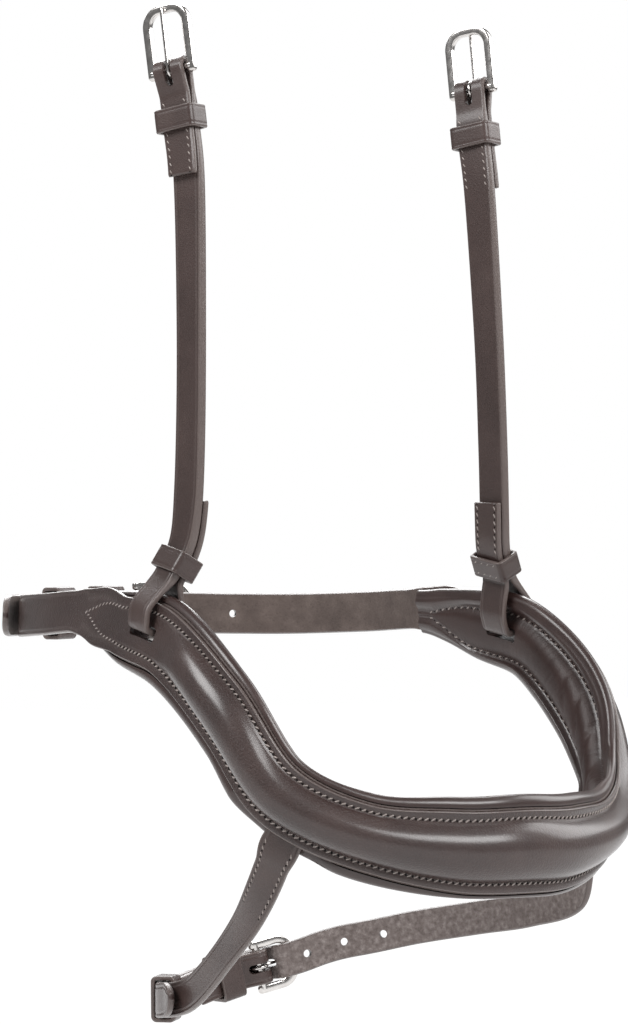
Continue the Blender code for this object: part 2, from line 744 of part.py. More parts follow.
class Fastening:
    # Levels of a chape folded round its bar and of the billet that comes under the rim and over the bar

    def __init__(self, base, bar_place, thickness, level, buckle_length, tip_place, tip_rise):
        self.base = base
        self.bar_place = bar_place
        self.thickness = thickness
        self.level = level
        self.length = buckle_length
        self.fold = BAR_RADIUS + GAP + thickness / 2
        self.bar_n = level - self.fold
        self.back_n = level - thickness - LAYER_GAP
        self.under = self.bar_n - RIM_THICKNESS / 2 - GAP - thickness / 2
        self.over = level + thickness + GAP
        rim = bar_place - buckle_length + RIM_WIDTH
        rise_end = bar_place - 0.0030
        self.table = [(rim - 0.026, level), (rim - 0.0060, self.under), (rim + 0.0025, self.under),
                      (rise_end, self.over), (bar_place + 0.001, self.over)]
        self.table += [(tip_place - gap, self.over + rise) for gap, rise in tip_rise]

    def billet_level(self, s):
        return along(self.table, s)

    def reaches(self, level):
        # Place between the rim and the bar where the middle of the billet comes to a level
        low = self.table[2][0]
        high = self.table[3][0]
        for _ in range(40):
            middle = (low + high) / 2
            if self.billet_level(middle) < level:
                low = middle
            else:
                high = middle
        return low

    def hole(self, path):
        # Middle and length, along the billet, of the hole that the prong passes through
        base = self.bar_n + RIM_THICKNESS / 2 + GAP
        ends = []
        for level in (base - 0.62 * self.thickness, base + TONGUE_THICKNESS + 0.62 * self.thickness):
            place = self.reaches(level)
            ends.append(path.nearest(self.base.place(place, 0, self.billet_level(place))))
        return (ends[0] + ends[1]) / 2, abs(ends[1] - ends[0]) + 2 * LOOSE + 0.4 * HOLE_WIDTH

    def chape_rows(self, end, turn_back):
        # Turned-back end, fold round the bar and main run: points, widths and base distances
        rows = []
        for s in np.arange(self.bar_place + turn_back, self.bar_place + BACK_STARTS, -0.001):
            rows.append((self.base.place(s, 0, self.back_n), self.base.frame(s)[2], s))
        point, ahead, across, face = self.base.frame(self.bar_place)
        centre = point + face * self.bar_n
        for angle in np.radians(np.linspace(-84, -270, 20)):
            round_bar = (ahead * math.cos(angle) + face * math.sin(angle)) * self.fold
            rows.append((centre + round_bar, across, self.bar_place))
        for s in np.arange(self.bar_place + 0.001, end, 0.001):
            rows.append((self.base.place(s, 0, self.level), self.base.frame(s)[2], s))
        return rows, centre - ahead * self.fold

    def billet_rows(self, start, tip_place):
        rows = []
        for s in np.arange(start, tip_place, 0.001):
            rows.append((self.base.place(s, 0, self.billet_level(s)), self.base.frame(s)[2], s))
        return rows

    def hardware(self, prefix, width, keepers, parts, cutters, skins):
        # Buckle, tongue and keepers on their seats
        matrix = self.base.matrix(self.bar_place, 0, self.bar_n) @ Matrix.Rotation(math.pi, 4, "Z")
        room = width + 2 * LOOSE
        frame = buckle_frame(prefix + "_buckle", room, self.length, parts, skins["steel"], cutters)
        frame.matrix_world = matrix
        prong = tongue(prefix + "_tongue", self.length, parts, skins["steel"])
        prong.matrix_world = matrix
        top = self.over + self.thickness / 2
        for label, past, layers in keepers:
            low = self.back_n - self.thickness / 2 if layers == 3 else self.level - self.thickness / 2
            loop = keeper(prefix + "_" + label, width, top - low, KEEPER_LENGTH, parts, skins["leather"])
            loop.matrix_world = self.base.matrix(self.bar_place + past, 0, (top + low) / 2)


def merged(found, keep, apart):
    # Sorted places without those that are too close to a place that must stay
    found = [s for s in found if all(abs(s - place) > apart for place in keep)]
    return sorted(set(found) | set(keep))


def strap_stations(path, shared, zones, ends):
    # Stations of a strap: those shared with its neighbours, its own inside some zones, and its ends
    own = []
    for low, high in zones:
        own += path.stations(low, high, STRAP_STATION, FOLD_STEP)
    own = [p for p in own if all(abs(p - place) > NEAR_JOIN for place in shared)]
    found = [p for p in sorted(set(own) | set(shared)) if 0 < p < path.length]
    return merged(found, [0.0] + list(ends) + [path.length], STATION_APART)


def make_outer_leather(ring, places, parts, cutters, skins):
    # One leather from the buckle's fold, over the nose, to the billet's tip
    level = GAP + STRAP_THICKNESS / 2
    full = ring.length
    join = Fastening(ring, BUCKLE_PLACE, STRAP_THICKNESS, level, BUCKLE_LENGTH, BILLET_TIP, TIP_RISE)
    rows, apex_point = join.chape_rows(full, TURN_BACK)
    rows += join.billet_rows(0.0, BILLET_TIP)
    path = Path([row[0] for row in rows], [row[1] for row in rows], "across", blur=0.0012)
    apex = path.nearest(apex_point)

    table_s = np.linspace(-PAD_END - NEAR_BAR, PAD_END + NEAR_BAR, 240)
    table_p = np.array([path.nearest(ring.place(s, 0, level)) for s in table_s])

    def section(p):
        s = float(np.interp(p, table_p, table_s))
        return [(t, n - level) for t, n in face_ring(s)]

    band = [-PAD_END] + [s for s in places if abs(s) < PAD_END - NEAR_JOIN] + [PAD_END]
    band_stations = [float(np.interp(s, table_s, table_p)) for s in band]
    first = band_stations[0]
    last = band_stations[-1]
    half = STRAP_WIDTH / 2
    total = path.length

    def strap_section(p):
        beyond = max(first - p, p - last)
        end_half = half_height(PAD_END)
        width = half + (end_half - half) * (1 - ease(beyond, 0.0, STRAP_FLARE))
        if p > total - TIP_LENGTH:
            width = min(width, pointed(half, total - p))
        return strap_ring(width, -STRAP_THICKNESS / 2, STRAP_THICKNESS / 2)

    def on_chape(s):
        return path.nearest(ring.place(s, 0, level))

    def on_billet(s):
        return path.nearest(ring.place(s, 0, join.billet_level(s)))

    chape_side = [on_chape(s) for s in places if BUCKLE_PLACE + NEAR_BAR < s < full - PAD_END - NEAR_BAR]
    chape_side += [path.nearest(ring.place(s, 0, join.back_n)) for s in places
                   if BUCKLE_PLACE + 1.2 * NEAR_FOLD < s < BUCKLE_PLACE + TURN_BACK - NEAR_JOIN]
    fold_zone = (path.nearest(ring.place(BUCKLE_PLACE + NEAR_FOLD, 0, join.back_n)),
                 on_chape(BUCKLE_PLACE + NEAR_BAR))
    before = strap_stations(path, chape_side, [fold_zone], [first - NEAR_JOIN])
    before = [p for p in before if p <= first - 0.99 * NEAR_JOIN]
    climb_zone = (on_billet(BUCKLE_PLACE - BUCKLE_LENGTH - NEAR_RIM), on_billet(BUCKLE_PLACE + NEAR_BAR))
    billet_side = [on_billet(s) for s in places if PAD_END + NEAR_BAR < s < BILLET_TIP - TIP_LENGTH]
    billet_side = [p for p in billet_side if not climb_zone[0] < p < climb_zone[1]]
    tip = [total - TIP_LENGTH * share for share in TIP_SHARES]
    after = strap_stations(path, billet_side, [climb_zone], [last + NEAR_JOIN] + tip)
    after = [p for p in after if p >= last + 0.99 * NEAR_JOIN]
    mesh = strip("face_leather", [(before, strap_section), (band_stations, section), (after, strap_section)])
    leather = add_object("face_leather", mesh, parts, skins["face"])
    make_slots(leather, [float(np.interp(s, table_s, table_p)) for s in (-SLOT_PLACE, SLOT_PLACE)], cutters)
    tools = [punch("face_leather_tongue_slot", (apex, 0, 0), TONGUE_SLOT, TONGUE_WIDTH + 2 * LOOSE, cutters)]
    hole, drawn = join.hole(path)
    tools.append(punch("face_leather_hole_in_use", (hole, 0, 0), drawn, HOLE_WIDTH, cutters))
    for k in range(1, HOLES_SPARE + 1):
        place = (hole - k * HOLE_PITCH, 0, 0)
        tools.append(punch("face_leather_hole_%d" % k, place, HOLE_WIDTH, HOLE_WIDTH, cutters))
    cut(leather, tools)
    bend(leather, path.place)
    keepers = [("fixed_keeper", FIXED_KEEPER_PAST, 3), ("sliding_keeper", SLIDING_KEEPER_PAST, 2)]
    join.hardware("rear", STRAP_WIDTH, keepers, parts, cutters, skins)


# Flash strap


def flash_path(ring):
    # From the right root, round the chin, to the left root
    root_n = -(BASE_THICKNESS + GAP + FLASH_THICKNESS / 2)
    right = [ring.place(FLASH_PLACE, -t, root_n) for t in FLASH_ROOT]
    left = [ring.place(-FLASH_PLACE, -t, root_n) for t in FLASH_ROOT[::-1]]
    dense = spline(right + [np.array(point) for point in FLASH_POINTS] + left, False)
    ahead = np.gradient(dense, axis=0)
    level = unit(np.stack([ahead[:, 1], -ahead[:, 0], 0 * ahead[:, 0]], axis=1))
    steps = np.concatenate([[0], np.cumsum(np.linalg.norm(np.diff(dense, axis=0), axis=1))])
    hints = np.zeros_like(dense)
    for k, step in enumerate(steps):
        right_share = 1 - ease(step, *FLASH_TURNED)
        left_share = 1 - ease(steps[-1] - step, *FLASH_CHAPE_TURNED)
        free = level[k] * (1 - right_share) * (1 - left_share)
        hints[k] = free + ring.frame(FLASH_PLACE)[3] * right_share + ring.frame(-FLASH_PLACE)[3] * left_share
    return Path(dense, hints, "face", blur=0.004)


def make_flash(ring, parts, cutters, skins):
    base = flash_path(ring)
    root_n = -(BASE_THICKNESS + GAP + FLASH_THICKNESS / 2)
    bar_place = base.nearest(FLASH_BUCKLE_NEAR)
    tip_place = bar_place + FLASH_TIP_PAST
    join = Fastening(base, bar_place, FLASH_THICKNESS, 0.0, FLASH_BUCKLE_LENGTH, tip_place, FLASH_TIP_RISE)
    half = FLASH_WIDTH / 2
    total = base.length
    laid = [(1 - share) * FLASH_LAID[0] + share * FLASH_LAID[1] for share in (0.0, 0.5, 1.0)]
    shared = base.stations(0.0, total, STRAP_STATION, CURVE_STEP, laid + [total - place for place in laid])

    def rooted(path, from_root, side):
        # Place on the path, laid against the base band near the root
        def place(p, t, n):
            point = np.array(path.place(p, t, n))
            reach = from_root(p)
            share = 1 - ease(reach, *FLASH_LAID)
            if share <= 0:
                return point
            laid = ring.place(side * (FLASH_PLACE + t), -(FLASH_ROOT[0] + reach), root_n + n)
            return laid * share + point * (1 - share)
        return place

    rows, apex_point = join.chape_rows(total, FLASH_TURN_BACK)
    path = Path([row[0] for row in rows], [row[1] for row in rows], "across", blur=0.0012)
    apex = path.nearest(apex_point)
    on_chape = [path.nearest(base.place(s, 0, 0)) for s in shared if s > bar_place + NEAR_BAR]
    on_chape += [path.nearest(base.place(s, 0, join.back_n)) for s in shared
                 if bar_place + 1.2 * NEAR_FOLD < s < bar_place + FLASH_TURN_BACK - NEAR_JOIN]
    fold_zone = (path.nearest(base.place(bar_place + NEAR_FOLD, 0, join.back_n)),
                 path.nearest(base.place(bar_place + NEAR_BAR, 0, 0)))
    stations = strap_stations(path, on_chape, [fold_zone], ())
    length = path.length

    def chape_ring(p):
        return strap_ring(half, -FLASH_THICKNESS / 2, FLASH_THICKNESS / 2)

    mesh = strip("flash_chape_strap", [(stations, chape_ring)])
    strap = add_object("flash_chape_strap", mesh, parts, skins["leather"])
    slot_width = TONGUE_WIDTH + 2 * LOOSE
    cut(strap, [punch("flash_chape_tongue_slot", (apex, 0, 0), TONGUE_SLOT, slot_width, cutters)])
    bend(strap, rooted(path, lambda p: length - p, -1))

    rows = join.billet_rows(0.0, tip_place)
    path = Path([row[0] for row in rows], [row[1] for row in rows], "across", blur=0.0012)
    rim = bar_place - FLASH_BUCKLE_LENGTH - NEAR_RIM
    on_billet = [path.nearest(base.place(s, 0, join.billet_level(s))) for s in shared
                 if s < rim or bar_place + NEAR_BAR < s < tip_place - TIP_LENGTH]
    climb_zone = [path.nearest(base.place(s, 0, join.billet_level(s))) for s in (rim, bar_place + NEAR_BAR)]
    billet_length = path.length
    tip = [billet_length - TIP_LENGTH * share for share in TIP_SHARES]
    stations = strap_stations(path, on_billet, [climb_zone], tip)

    def billet_ring(p):
        return strap_ring(pointed(half, billet_length - p), -FLASH_THICKNESS / 2, FLASH_THICKNESS / 2)

    mesh = strip("flash_billet_strap", [(stations, billet_ring)])
    strap = add_object("flash_billet_strap", mesh, parts, skins["leather_inside"])
    hole, drawn = join.hole(path)
    tools = [punch("flash_hole_in_use", (hole, 0, 0), drawn, HOLE_WIDTH, cutters)]
    for k in range(1, FLASH_HOLES_SPARE + 1):
        place = (hole - k * FLASH_HOLE_PITCH, 0, 0)
        tools.append(punch("flash_hole_%d" % k, place, HOLE_WIDTH, HOLE_WIDTH, cutters))
    cut(strap, tools)
    bend(strap, rooted(path, lambda p: p, 1))
    keepers = [("fixed_keeper", FLASH_FIXED_KEEPER_PAST, 3), ("sliding_keeper", FLASH_SLIDING_KEEPER_PAST, 2)]
    join.hardware("flash", FLASH_WIDTH, keepers, parts, cutters, skins)


# Hanger straps


def make_hanger(label, sign, ring, parts, cutters, skins):
    # Strap looped through the band's slot, up to its buckle and folded round the buckle's bar
    slot_point, slot_ahead, slot_across, slot_face = ring.frame(sign * SLOT_PLACE)

    rows = np.array([(sign * x, y, z, turn) for x, y, z, turn in HANGER_POINTS])
    dense = spline(rows, False)
    turn = np.radians(dense[:, 3])
    hints = np.stack([sign * np.cos(turn), -np.sin(turn) if sign < 0 else np.sin(turn), 0 * turn], axis=1)
    share = np.clip((dense[:, 2] - dense[0, 2]) / 0.030, 0, 1)[:, None]
    hints = unit(slot_face[None, :] * (1 - share) + hints * share)
    spine = Path(dense[:, :3], hints, "face", blur=0.004)

    thick = HANGER_THICKNESS
    thin = HANGER_SKIVED
    foot_back = -((thick + thin) / 2 + LAYER_GAP)
    points = []
    widths = []
    for h in np.arange(HANGER_FOOT_BACK, 0.0, -0.001):
        points.append(spine.place(h, 0, foot_back))
        widths.append(spine.frame(h)[2])

    # Loop through the slot, drawn in the ring's outward, across and along directions
    depth = BASE_THICKNESS + GAP + along(PAD_DEPTH, SLOT_PLACE)
    inner_n = -depth - LOOP_CLEARANCE - thin / 2
    outer_n = GAP + face_thickness(SLOT_PLACE) + LOOP_CLEARANCE + thin / 2
    crossing_t = SLOT_RAISE + 0.1 * SLOT_HEIGHT
    radius = thin / 2 + LOOP_ROUND

    def in_ring(point):
        away = np.array(point) - slot_point
        return np.array([away @ slot_face, away @ slot_across, away @ slot_ahead])

    start = in_ring(spine.place(0.0, 0, foot_back))
    end = in_ring(spine.place(0.0, 0, 0))
    shape = [start, (inner_n - 0.0004, start[1] * 0.42 + crossing_t * 0.58, start[2] * 0.3)]
    for a in (180, 225, 270):
        shape.append((inner_n + radius + radius * math.cos(math.radians(a)),
                      crossing_t + radius + radius * math.sin(math.radians(a)), 0.0))
    for a in (270, 315, 360):
        shape.append((outer_n - radius + radius * math.cos(math.radians(a)),
                      crossing_t + radius + radius * math.sin(math.radians(a)), 0.0))
    shape += [(outer_n + 0.0004, end[1] * 0.42 + crossing_t * 0.58, end[2] * 0.3), end]
    loop = spline(shape, False, 12)
    for n, t, a in loop[1:-1]:
        points.append(slot_point + slot_face * n + slot_across * t + slot_ahead * a)
        reach = ease(t, crossing_t + radius, end[1])
        widths.append(-slot_ahead * (1 - reach) + spine.frame(0.0)[2] * reach)

    fold = BAR_RADIUS + GAP + thin / 2
    top = spine.length - 0.0004
    for h in np.arange(0.0, top - 0.004, 0.001):
        points.append(spine.place(h, 0, 0))
        widths.append(spine.frame(h)[2])
    point, ahead, across, face = spine.frame(top)
    centre = point + face * fold
    for angle in np.radians(np.linspace(180, -20, 22)):
        points.append(centre + face * math.cos(angle) * fold + ahead * math.sin(angle) * fold)
        widths.append(across)
    back = (thick + thin) / 2 + LAYER_GAP
    for h in np.arange(top - 0.0095, top - HANGER_TOP_BACK, -0.001):
        points.append(spine.place(h, 0, back))
        widths.append(spine.frame(h)[2])
    path = Path(points, widths, "across", blur=0.0014)
    foot = path.nearest(slot_point + slot_face * (inner_n + outer_n) / 2 + slot_across * crossing_t)
    joined = path.nearest(spine.place(0.004, 0, 0))
    apex = path.nearest(centre + ahead * fold)
    before_fold = path.nearest(spine.place(top - 1.1 * NEAR_FOLD, 0, 0))

    def hanger_ring(p):
        # Full thickness on the single run, skived at the loop, the fold and the turned-back ends
        share = ease(p, joined - HANGER_SKIVE, joined)
        share *= 1 - ease(p, before_fold - NEAR_JOIN, before_fold + NEAR_JOIN)
        now = thin + (thick - thin) * share
        return strap_ring(HANGER_WIDTH / 2, -now / 2, now / 2)

    name = label + "_hanger_strap"
    shared = []
    for h in spine.stations(0.0, top - 1.2 * NEAR_FOLD, HANGER_STATION, CURVE_STEP):
        shared.append(path.nearest(spine.place(h, 0, 0)))
        if h < HANGER_FOOT_BACK - NEAR_JOIN:
            shared.append(path.nearest(spine.place(h, 0, foot_back)))
        if h > top - HANGER_TOP_BACK + NEAR_JOIN:
            shared.append(path.nearest(spine.place(h, 0, back)))
    loop_zone = (path.nearest(spine.place(0.0, 0, foot_back)), path.nearest(spine.place(0.0, 0, 0)))
    fold_zone = [path.nearest(spine.place(top - 1.2 * NEAR_FOLD, 0, n)) for n in (0, back)]
    keep = [joined - 0.5 * HANGER_SKIVE, joined, before_fold - NEAR_JOIN, before_fold + NEAR_JOIN]
    stations = strap_stations(path, shared, [loop_zone, fold_zone], keep)
    strap = add_object(name, strip(name, [(stations, hanger_ring)]), parts, skins["leather"])
    cut(strap, [punch(name + "_slot", (apex, 0, 0), HANGER_TONGUE_SLOT, TONGUE_WIDTH + 2 * LOOSE, cutters)])
    bend(strap, path.place)

    # Buckle and tongue on the bar's axis, the frame standing up from the fold
    rows = np.eye(4)
    rows[:3, 0] = ahead
    rows[:3, 1] = np.cross(face, ahead)
    rows[:3, 2] = face
    rows[:3, 3] = centre
    matrix = Matrix(rows.tolist())
    room = HANGER_WIDTH + 2 * LOOSE
    frame = buckle_frame(label + "_hanger_buckle", room, BUCKLE_LENGTH, parts, skins["steel"], cutters)
    frame.matrix_world = matrix
    prong = tongue(label + "_hanger_tongue", BUCKLE_LENGTH, parts, skins["steel"])
    prong.matrix_world = matrix

    # Keepers: the upper one fixed over the turned-back end, the lower one free to slide
    height = thick + thin + LAYER_GAP
    seats = (("top", top - HANGER_TOP_KEEPER_BELOW, (back + thin / 2 - thick / 2) / 2),
             ("foot", HANGER_FOOT_KEEPER_UP, (foot_back - thin / 2 + thick / 2) / 2))
    for end, seat, level in seats:
        name = label + "_hanger_" + end + "_keeper"
        loop = keeper(name, HANGER_WIDTH, height, HANGER_KEEPER_LENGTH, parts, skins["leather"])
        loop.matrix_world = spine.matrix(seat, 0, level)
    return slot_point + slot_face * (inner_n + outer_n) / 2 + slot_across * crossing_t, slot_ahead


def main():
    clear_scene()
    parts = new_collection("noseband")
    cutters = new_collection("cutters")
    skins = {
        "leather": material("bridle_leather", LEATHER, 0.38),
        "face": material("raised_face_leather", LEATHER, 0.30),
        "leather_inside": material("strap_leather_flesh_side", LEATHER_INSIDE, 0.60),
        "lining": material("soft_lining_leather", LEATHER, 0.45),
        "padding": material("felt_padding", PADDING, 0.9),
        "steel": material("polished_steel", STEEL, 0.16, 1.0),
    }
    left = [(-x, y, z, lean) for x, y, z, lean in RING_POINTS[-2:0:-1]]
    loop = RING_POINTS + left
    ring = facing_path([row[:3] for row in loop], [row[3] for row in loop], True)
    extra = [0.0]
    for sign in (-1, 1):
        for step in (-0.5, 0.5):
            extra.append(sign * SLOT_PLACE + step * (SLOT_LENGTH + NEAR_JOIN))
            for share in (0.0, 0.5, 1.0):
                away = 0.5 * FLASH_WIDTH + TAB_ROOM + share * TAB_SLOPE
                extra.append(sign * FLASH_PLACE + 2 * step * away)
        extra += [sign * DOME_END, sign * (DOME_END - 0.010)]
    extra = [place for place in extra if place > 0]
    right_half = ring.stations(0.0, ring.length / 2, BAND_STATION, CURVE_STEP, extra)
    places = sorted(set([-s for s in right_half] + right_half))
    make_band(ring, places, parts, cutters, skins)
    make_outer_leather(ring, places + [ring.length - s for s in right_half[-2::-1]], parts, cutters, skins)
    make_flash(ring, parts, cutters, skins)
    hinges = {}
    for label, sign in (("left", -1), ("right", 1)):
        hinges[label] = make_hanger(label, sign, ring, parts, cutters, skins)
    return hinges


HINGES = main()
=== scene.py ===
import math
import bmesh
import bpy
import numpy as np
from mathutils import Matrix, Vector


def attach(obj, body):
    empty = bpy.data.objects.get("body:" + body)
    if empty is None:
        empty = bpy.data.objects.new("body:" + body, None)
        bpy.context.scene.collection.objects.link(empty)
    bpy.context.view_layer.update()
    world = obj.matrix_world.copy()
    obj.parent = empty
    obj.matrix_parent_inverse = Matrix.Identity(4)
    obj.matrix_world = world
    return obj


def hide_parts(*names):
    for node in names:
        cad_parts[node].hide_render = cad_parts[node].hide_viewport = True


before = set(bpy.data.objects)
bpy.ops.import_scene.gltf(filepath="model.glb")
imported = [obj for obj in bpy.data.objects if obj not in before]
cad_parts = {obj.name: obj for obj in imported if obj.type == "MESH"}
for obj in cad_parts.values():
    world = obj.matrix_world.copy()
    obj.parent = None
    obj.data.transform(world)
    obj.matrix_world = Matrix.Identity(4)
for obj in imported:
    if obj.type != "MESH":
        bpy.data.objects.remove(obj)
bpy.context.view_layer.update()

# Camera at the photograph's angle: level, from in front of the left cheek
cameraSizes = {"azimuth": -37.0, "distance": 2.1, "target": (0.0, 0.1149, 0.1075), "lens": 196.9, "sensor": 36.0,
               "lift": 35 / 1024, "clipEnd": 50.0}


def addObject(name, data, *skins):
    made = bpy.data.objects.new(name, data)
    bpy.context.scene.collection.objects.link(made)
    for skin in skins:
        data.materials.append(skin)
    return made


def placeCamera(sizes):
    turn = math.radians(sizes["azimuth"])
    back = Vector((math.sin(turn), -math.cos(turn), 0.0))
    data = bpy.data.cameras.new("photoCamera")
    data.lens = sizes["lens"]
    data.sensor_width = sizes["sensor"]
    data.shift_y = sizes["lift"]
    data.clip_end = sizes["clipEnd"]
    camera = addObject("photoCamera", data)
    camera.location = Vector(sizes["target"]) + back * sizes["distance"]
    camera.rotation_euler = (math.radians(90), 0.0, turn)
    bpy.context.scene.camera = camera


placeCamera(cameraSizes)

# Gaps between layers of leather
sewnGap = 0.0003
layerGap = 0.0004
looseGap = 0.0006


def easeBetween(x, low, high):
    u = np.clip((np.asarray(x, dtype=float) - low) / (high - low), 0.0, 1.0)
    return u * u * (3 - 2 * u)


def valueAlong(table, distance):
    # smooth values from a short table of (distance, value)
    places = np.array([row[0] for row in table], dtype=float)
    values = np.array([row[1] for row in table], dtype=float)
    slopes = np.diff(values) / np.diff(places)
    tangents = np.zeros(len(values))
    for k in range(1, len(values) - 1):
        if slopes[k - 1] * slopes[k] > 0:
            tangents[k] = 2 * slopes[k - 1] * slopes[k] / (slopes[k - 1] + slopes[k])
    d = np.clip(np.asarray(distance, dtype=float), places[0], places[-1])
    k = np.clip(np.searchsorted(places, d, side="right") - 1, 0, len(slopes) - 1)
    width = places[k + 1] - places[k]
    u = (d - places[k]) / width
    return ((1 + 2 * u) * (1 - u) ** 2 * values[k] + u * (1 - u) ** 2 * width * tangents[k]
            + u * u * (3 - 2 * u) * values[k + 1] + u * u * (u - 1) * width * tangents[k + 1])


def unitRows(rows):
    return rows / np.maximum(np.linalg.norm(rows, axis=-1, keepdims=True), 1e-12)


def smoothSpline(points, closed, perSpan=40):
    points = np.array(points, dtype=float)
    if closed:
        padded = np.vstack([points[-1], points, points[0], points[1]])
    else:
        padded = np.vstack([2 * points[0] - points[1], points, 2 * points[-1] - points[-2]])
    u = np.linspace(0, 1, perSpan, endpoint=False)[:, None]
    rows = []
    for k in range(len(padded) - 3):
        a, b, c, d = padded[k:k + 4]
        bend, twist = 2 * a - 5 * b + 4 * c - d, 3 * b - 3 * c + d - a
        rows.append(0.5 * (2 * b + (c - a) * u + bend * u * u + twist * u ** 3))
    rows = np.vstack(rows)
    return rows if closed else np.vstack([rows, padded[-2]])


def runningMean(rows, reach, closed):
    if closed:
        padded = np.vstack([rows[-reach:], rows, rows[:reach]])
    else:
        padded = np.vstack([2 * rows[0] - rows[reach:0:-1], rows, 2 * rows[-1] - rows[-2:-reach - 2:-1]])
    kernel = np.hanning(2 * reach + 3)[1:-1]
    kernel /= kernel.sum()
    return np.stack([np.convolve(padded[:, k], kernel, mode="valid") for k in range(rows.shape[1])], axis=1)


def distances(line):
    # how far along a line each of its points lies
    return np.concatenate([[0.0], np.cumsum(np.linalg.norm(np.diff(line, axis=0), axis=1))])


def frameMatrix(point, ahead, face):
    # columns: along the leather, across it, out of its face, and the place
    rows = np.eye(4)
    rows[:3] = np.stack([ahead, np.cross(face, ahead), face, point], axis=1)
    return rows


class LeatherPath:
    # a curve that knows its length, direction, width direction and outward face

    def __init__(self, points, hints, hintIs, closed=False, spacing=0.0005, blur=0.002):
        rows = np.hstack([np.array(points, dtype=float), np.array(hints, dtype=float)])
        if closed:
            rows = np.vstack([rows, rows[:1]])
        lengths = distances(rows[:, :3])
        count = max(int(lengths[-1] / spacing), 8)
        places = np.linspace(0, lengths[-1], count + 1)
        rows = np.stack([np.interp(places, lengths, rows[:, k]) for k in range(6)], axis=1)
        if closed:
            rows = rows[:-1]
        rows = runningMean(rows, max(int(blur / spacing), 1), closed)
        self.closed = closed
        self.points = rows[:, :3]
        if closed:
            ring = np.vstack([self.points[-1:], self.points, self.points[:1]])
            self.ahead = unitRows(ring[2:] - ring[:-2])
            loop = np.vstack([self.points, self.points[:1]])
        else:
            self.ahead = unitRows(np.gradient(self.points, axis=0))
            loop = self.points
        self.places = distances(loop)
        self.length = float(self.places[-1])
        hint = rows[:, 3:]
        hint = unitRows(hint - (hint * self.ahead).sum(axis=1, keepdims=True) * self.ahead)
        if hintIs == "face":
            self.face = hint
            self.across = np.cross(self.face, self.ahead)
        else:
            self.across = hint
            self.face = np.cross(self.ahead, self.across)

    def read(self, field, s):
        s = np.atleast_1d(np.asarray(s, dtype=float))
        if self.closed:
            s = np.mod(s, self.length)
            field = np.vstack([field, field[:1]])
        return np.stack([np.interp(s, self.places, field[:, k]) for k in range(3)], axis=1)

    def frames(self, s):
        return (self.read(self.points, s), unitRows(self.read(self.ahead, s)),
                unitRows(self.read(self.across, s)), unitRows(self.read(self.face, s)))

    def place(self, s, t=0.0, n=0.0):
        s = np.atleast_1d(np.asarray(s, dtype=float))
        point, ahead, across, face = self.frames(s)
        t = np.broadcast_to(np.asarray(t, dtype=float), s.shape)[:, None]
        n = np.broadcast_to(np.asarray(n, dtype=float), s.shape)[:, None]
        past = np.zeros(len(s)) if self.closed else s - np.clip(s, 0.0, self.length)
        return point + ahead * past[:, None] + across * t + face * n

    def at(self, s, t=0.0, n=0.0):
        return self.place([s], t, n)[0]

    def matrix(self, s, t=0.0, n=0.0):
        point, ahead, across, face = (row[0] for row in self.frames(s))
        return frameMatrix(point + across * t + face * n, ahead, face)

    def nearest(self, point):
        return float(self.places[int(np.linalg.norm(self.points - np.array(point), axis=1).argmin())])


ringPoints = [  # the ring's right half from the nose to the back: x, y, z and lean of its face in degrees
    (0.0, -0.010, 0.0004, -6),
    (0.0265, -0.0045, 0.0004, -6),
    (0.0565, 0.0124, 0.0046, -7),
    (0.0775, 0.035, 0.019, -8),
    (0.0855, 0.056, 0.047, 0),
    (0.087, 0.0883, 0.0714, 12),
    (0.084, 0.1185, 0.0785, 14),
    (0.079, 0.149, 0.083, 15),
    (0.074, 0.183, 0.082, 8),
    (0.060, 0.219, 0.081, 2),
    (0.032, 0.242, 0.0815, 0),
    (0.0, 0.247, 0.082, 0),
]

bandSizes = {
    "slotPlace": 0.188, "padEnd": 0.235, "baseEnd": 0.231, "step": 0.0024,
    "flashPlace": 0.087, "coverStart": 0.205, "coverEnd": 0.224,
    "halfHeight": [(0.0, 0.0190), (0.03, 0.0184), (0.06, 0.0165), (0.078, 0.0161), (0.105, 0.0165),
                   (0.135, 0.0178), (0.165, 0.0172), (0.185, 0.0164), (0.203, 0.0148), (0.222, 0.0112),
                   (0.236, 0.0090)],
    "upperRoll": [(0.0, 0.0047), (0.03, 0.0043), (0.06, 0.0034), (0.09, 0.0025), (0.12, 0.0023),
                  (0.15, 0.0028), (0.172, 0.0034), (0.203, 0.0032), (0.222, 0.0020), (0.236, 0.0016)],
    "lowerRoll": [(0.0, 0.0018), (0.02, 0.0020), (0.045, 0.0034), (0.06, 0.0042), (0.09, 0.0044),
                  (0.12, 0.0054), (0.15, 0.0056), (0.172, 0.0050), (0.19, 0.0036), (0.203, 0.0030),
                  (0.222, 0.0020), (0.236, 0.0016)],
    "dome": [(0.0, 0.0070), (0.10, 0.0068), (0.14, 0.0060), (0.158, 0.0046), (0.171, 0.0012), (0.1775, 0.0)],
    "padDepth": [(0.0, 0.0074), (0.10, 0.0066), (0.15, 0.0058), (0.18, 0.0044), (0.203, 0.0032), (0.236, 0.0012)],
    "upperInset": [(0.0, 0.0028), (0.03, 0.0032), (0.06, 0.0024), (0.1, 0.0026), (0.15, 0.0030), (0.21, 0.0040)],
    "lowerInset": [(0.0, 0.0035), (0.06, 0.0029), (0.12, 0.0030), (0.21, 0.0040)],
    "baseThickness": 0.0024, "strapThickness": 0.0024, "faceThickness": 0.0015, "faceSetback": 0.0008,
    "slotLength": 0.017, "slotHeight": 0.0054, "slotCorner": 0.0012, "slotRaise": 0.0008,
    "rollRadius": 0.0039, "rollLeast": 0.0008, "ovalTip": 0.2325, "ovalFrom": 0.199,
    "domeGap": 0.0009, "domePower": 2.3, "domeRound": 0.72, "ovalPower": 1.7,
}
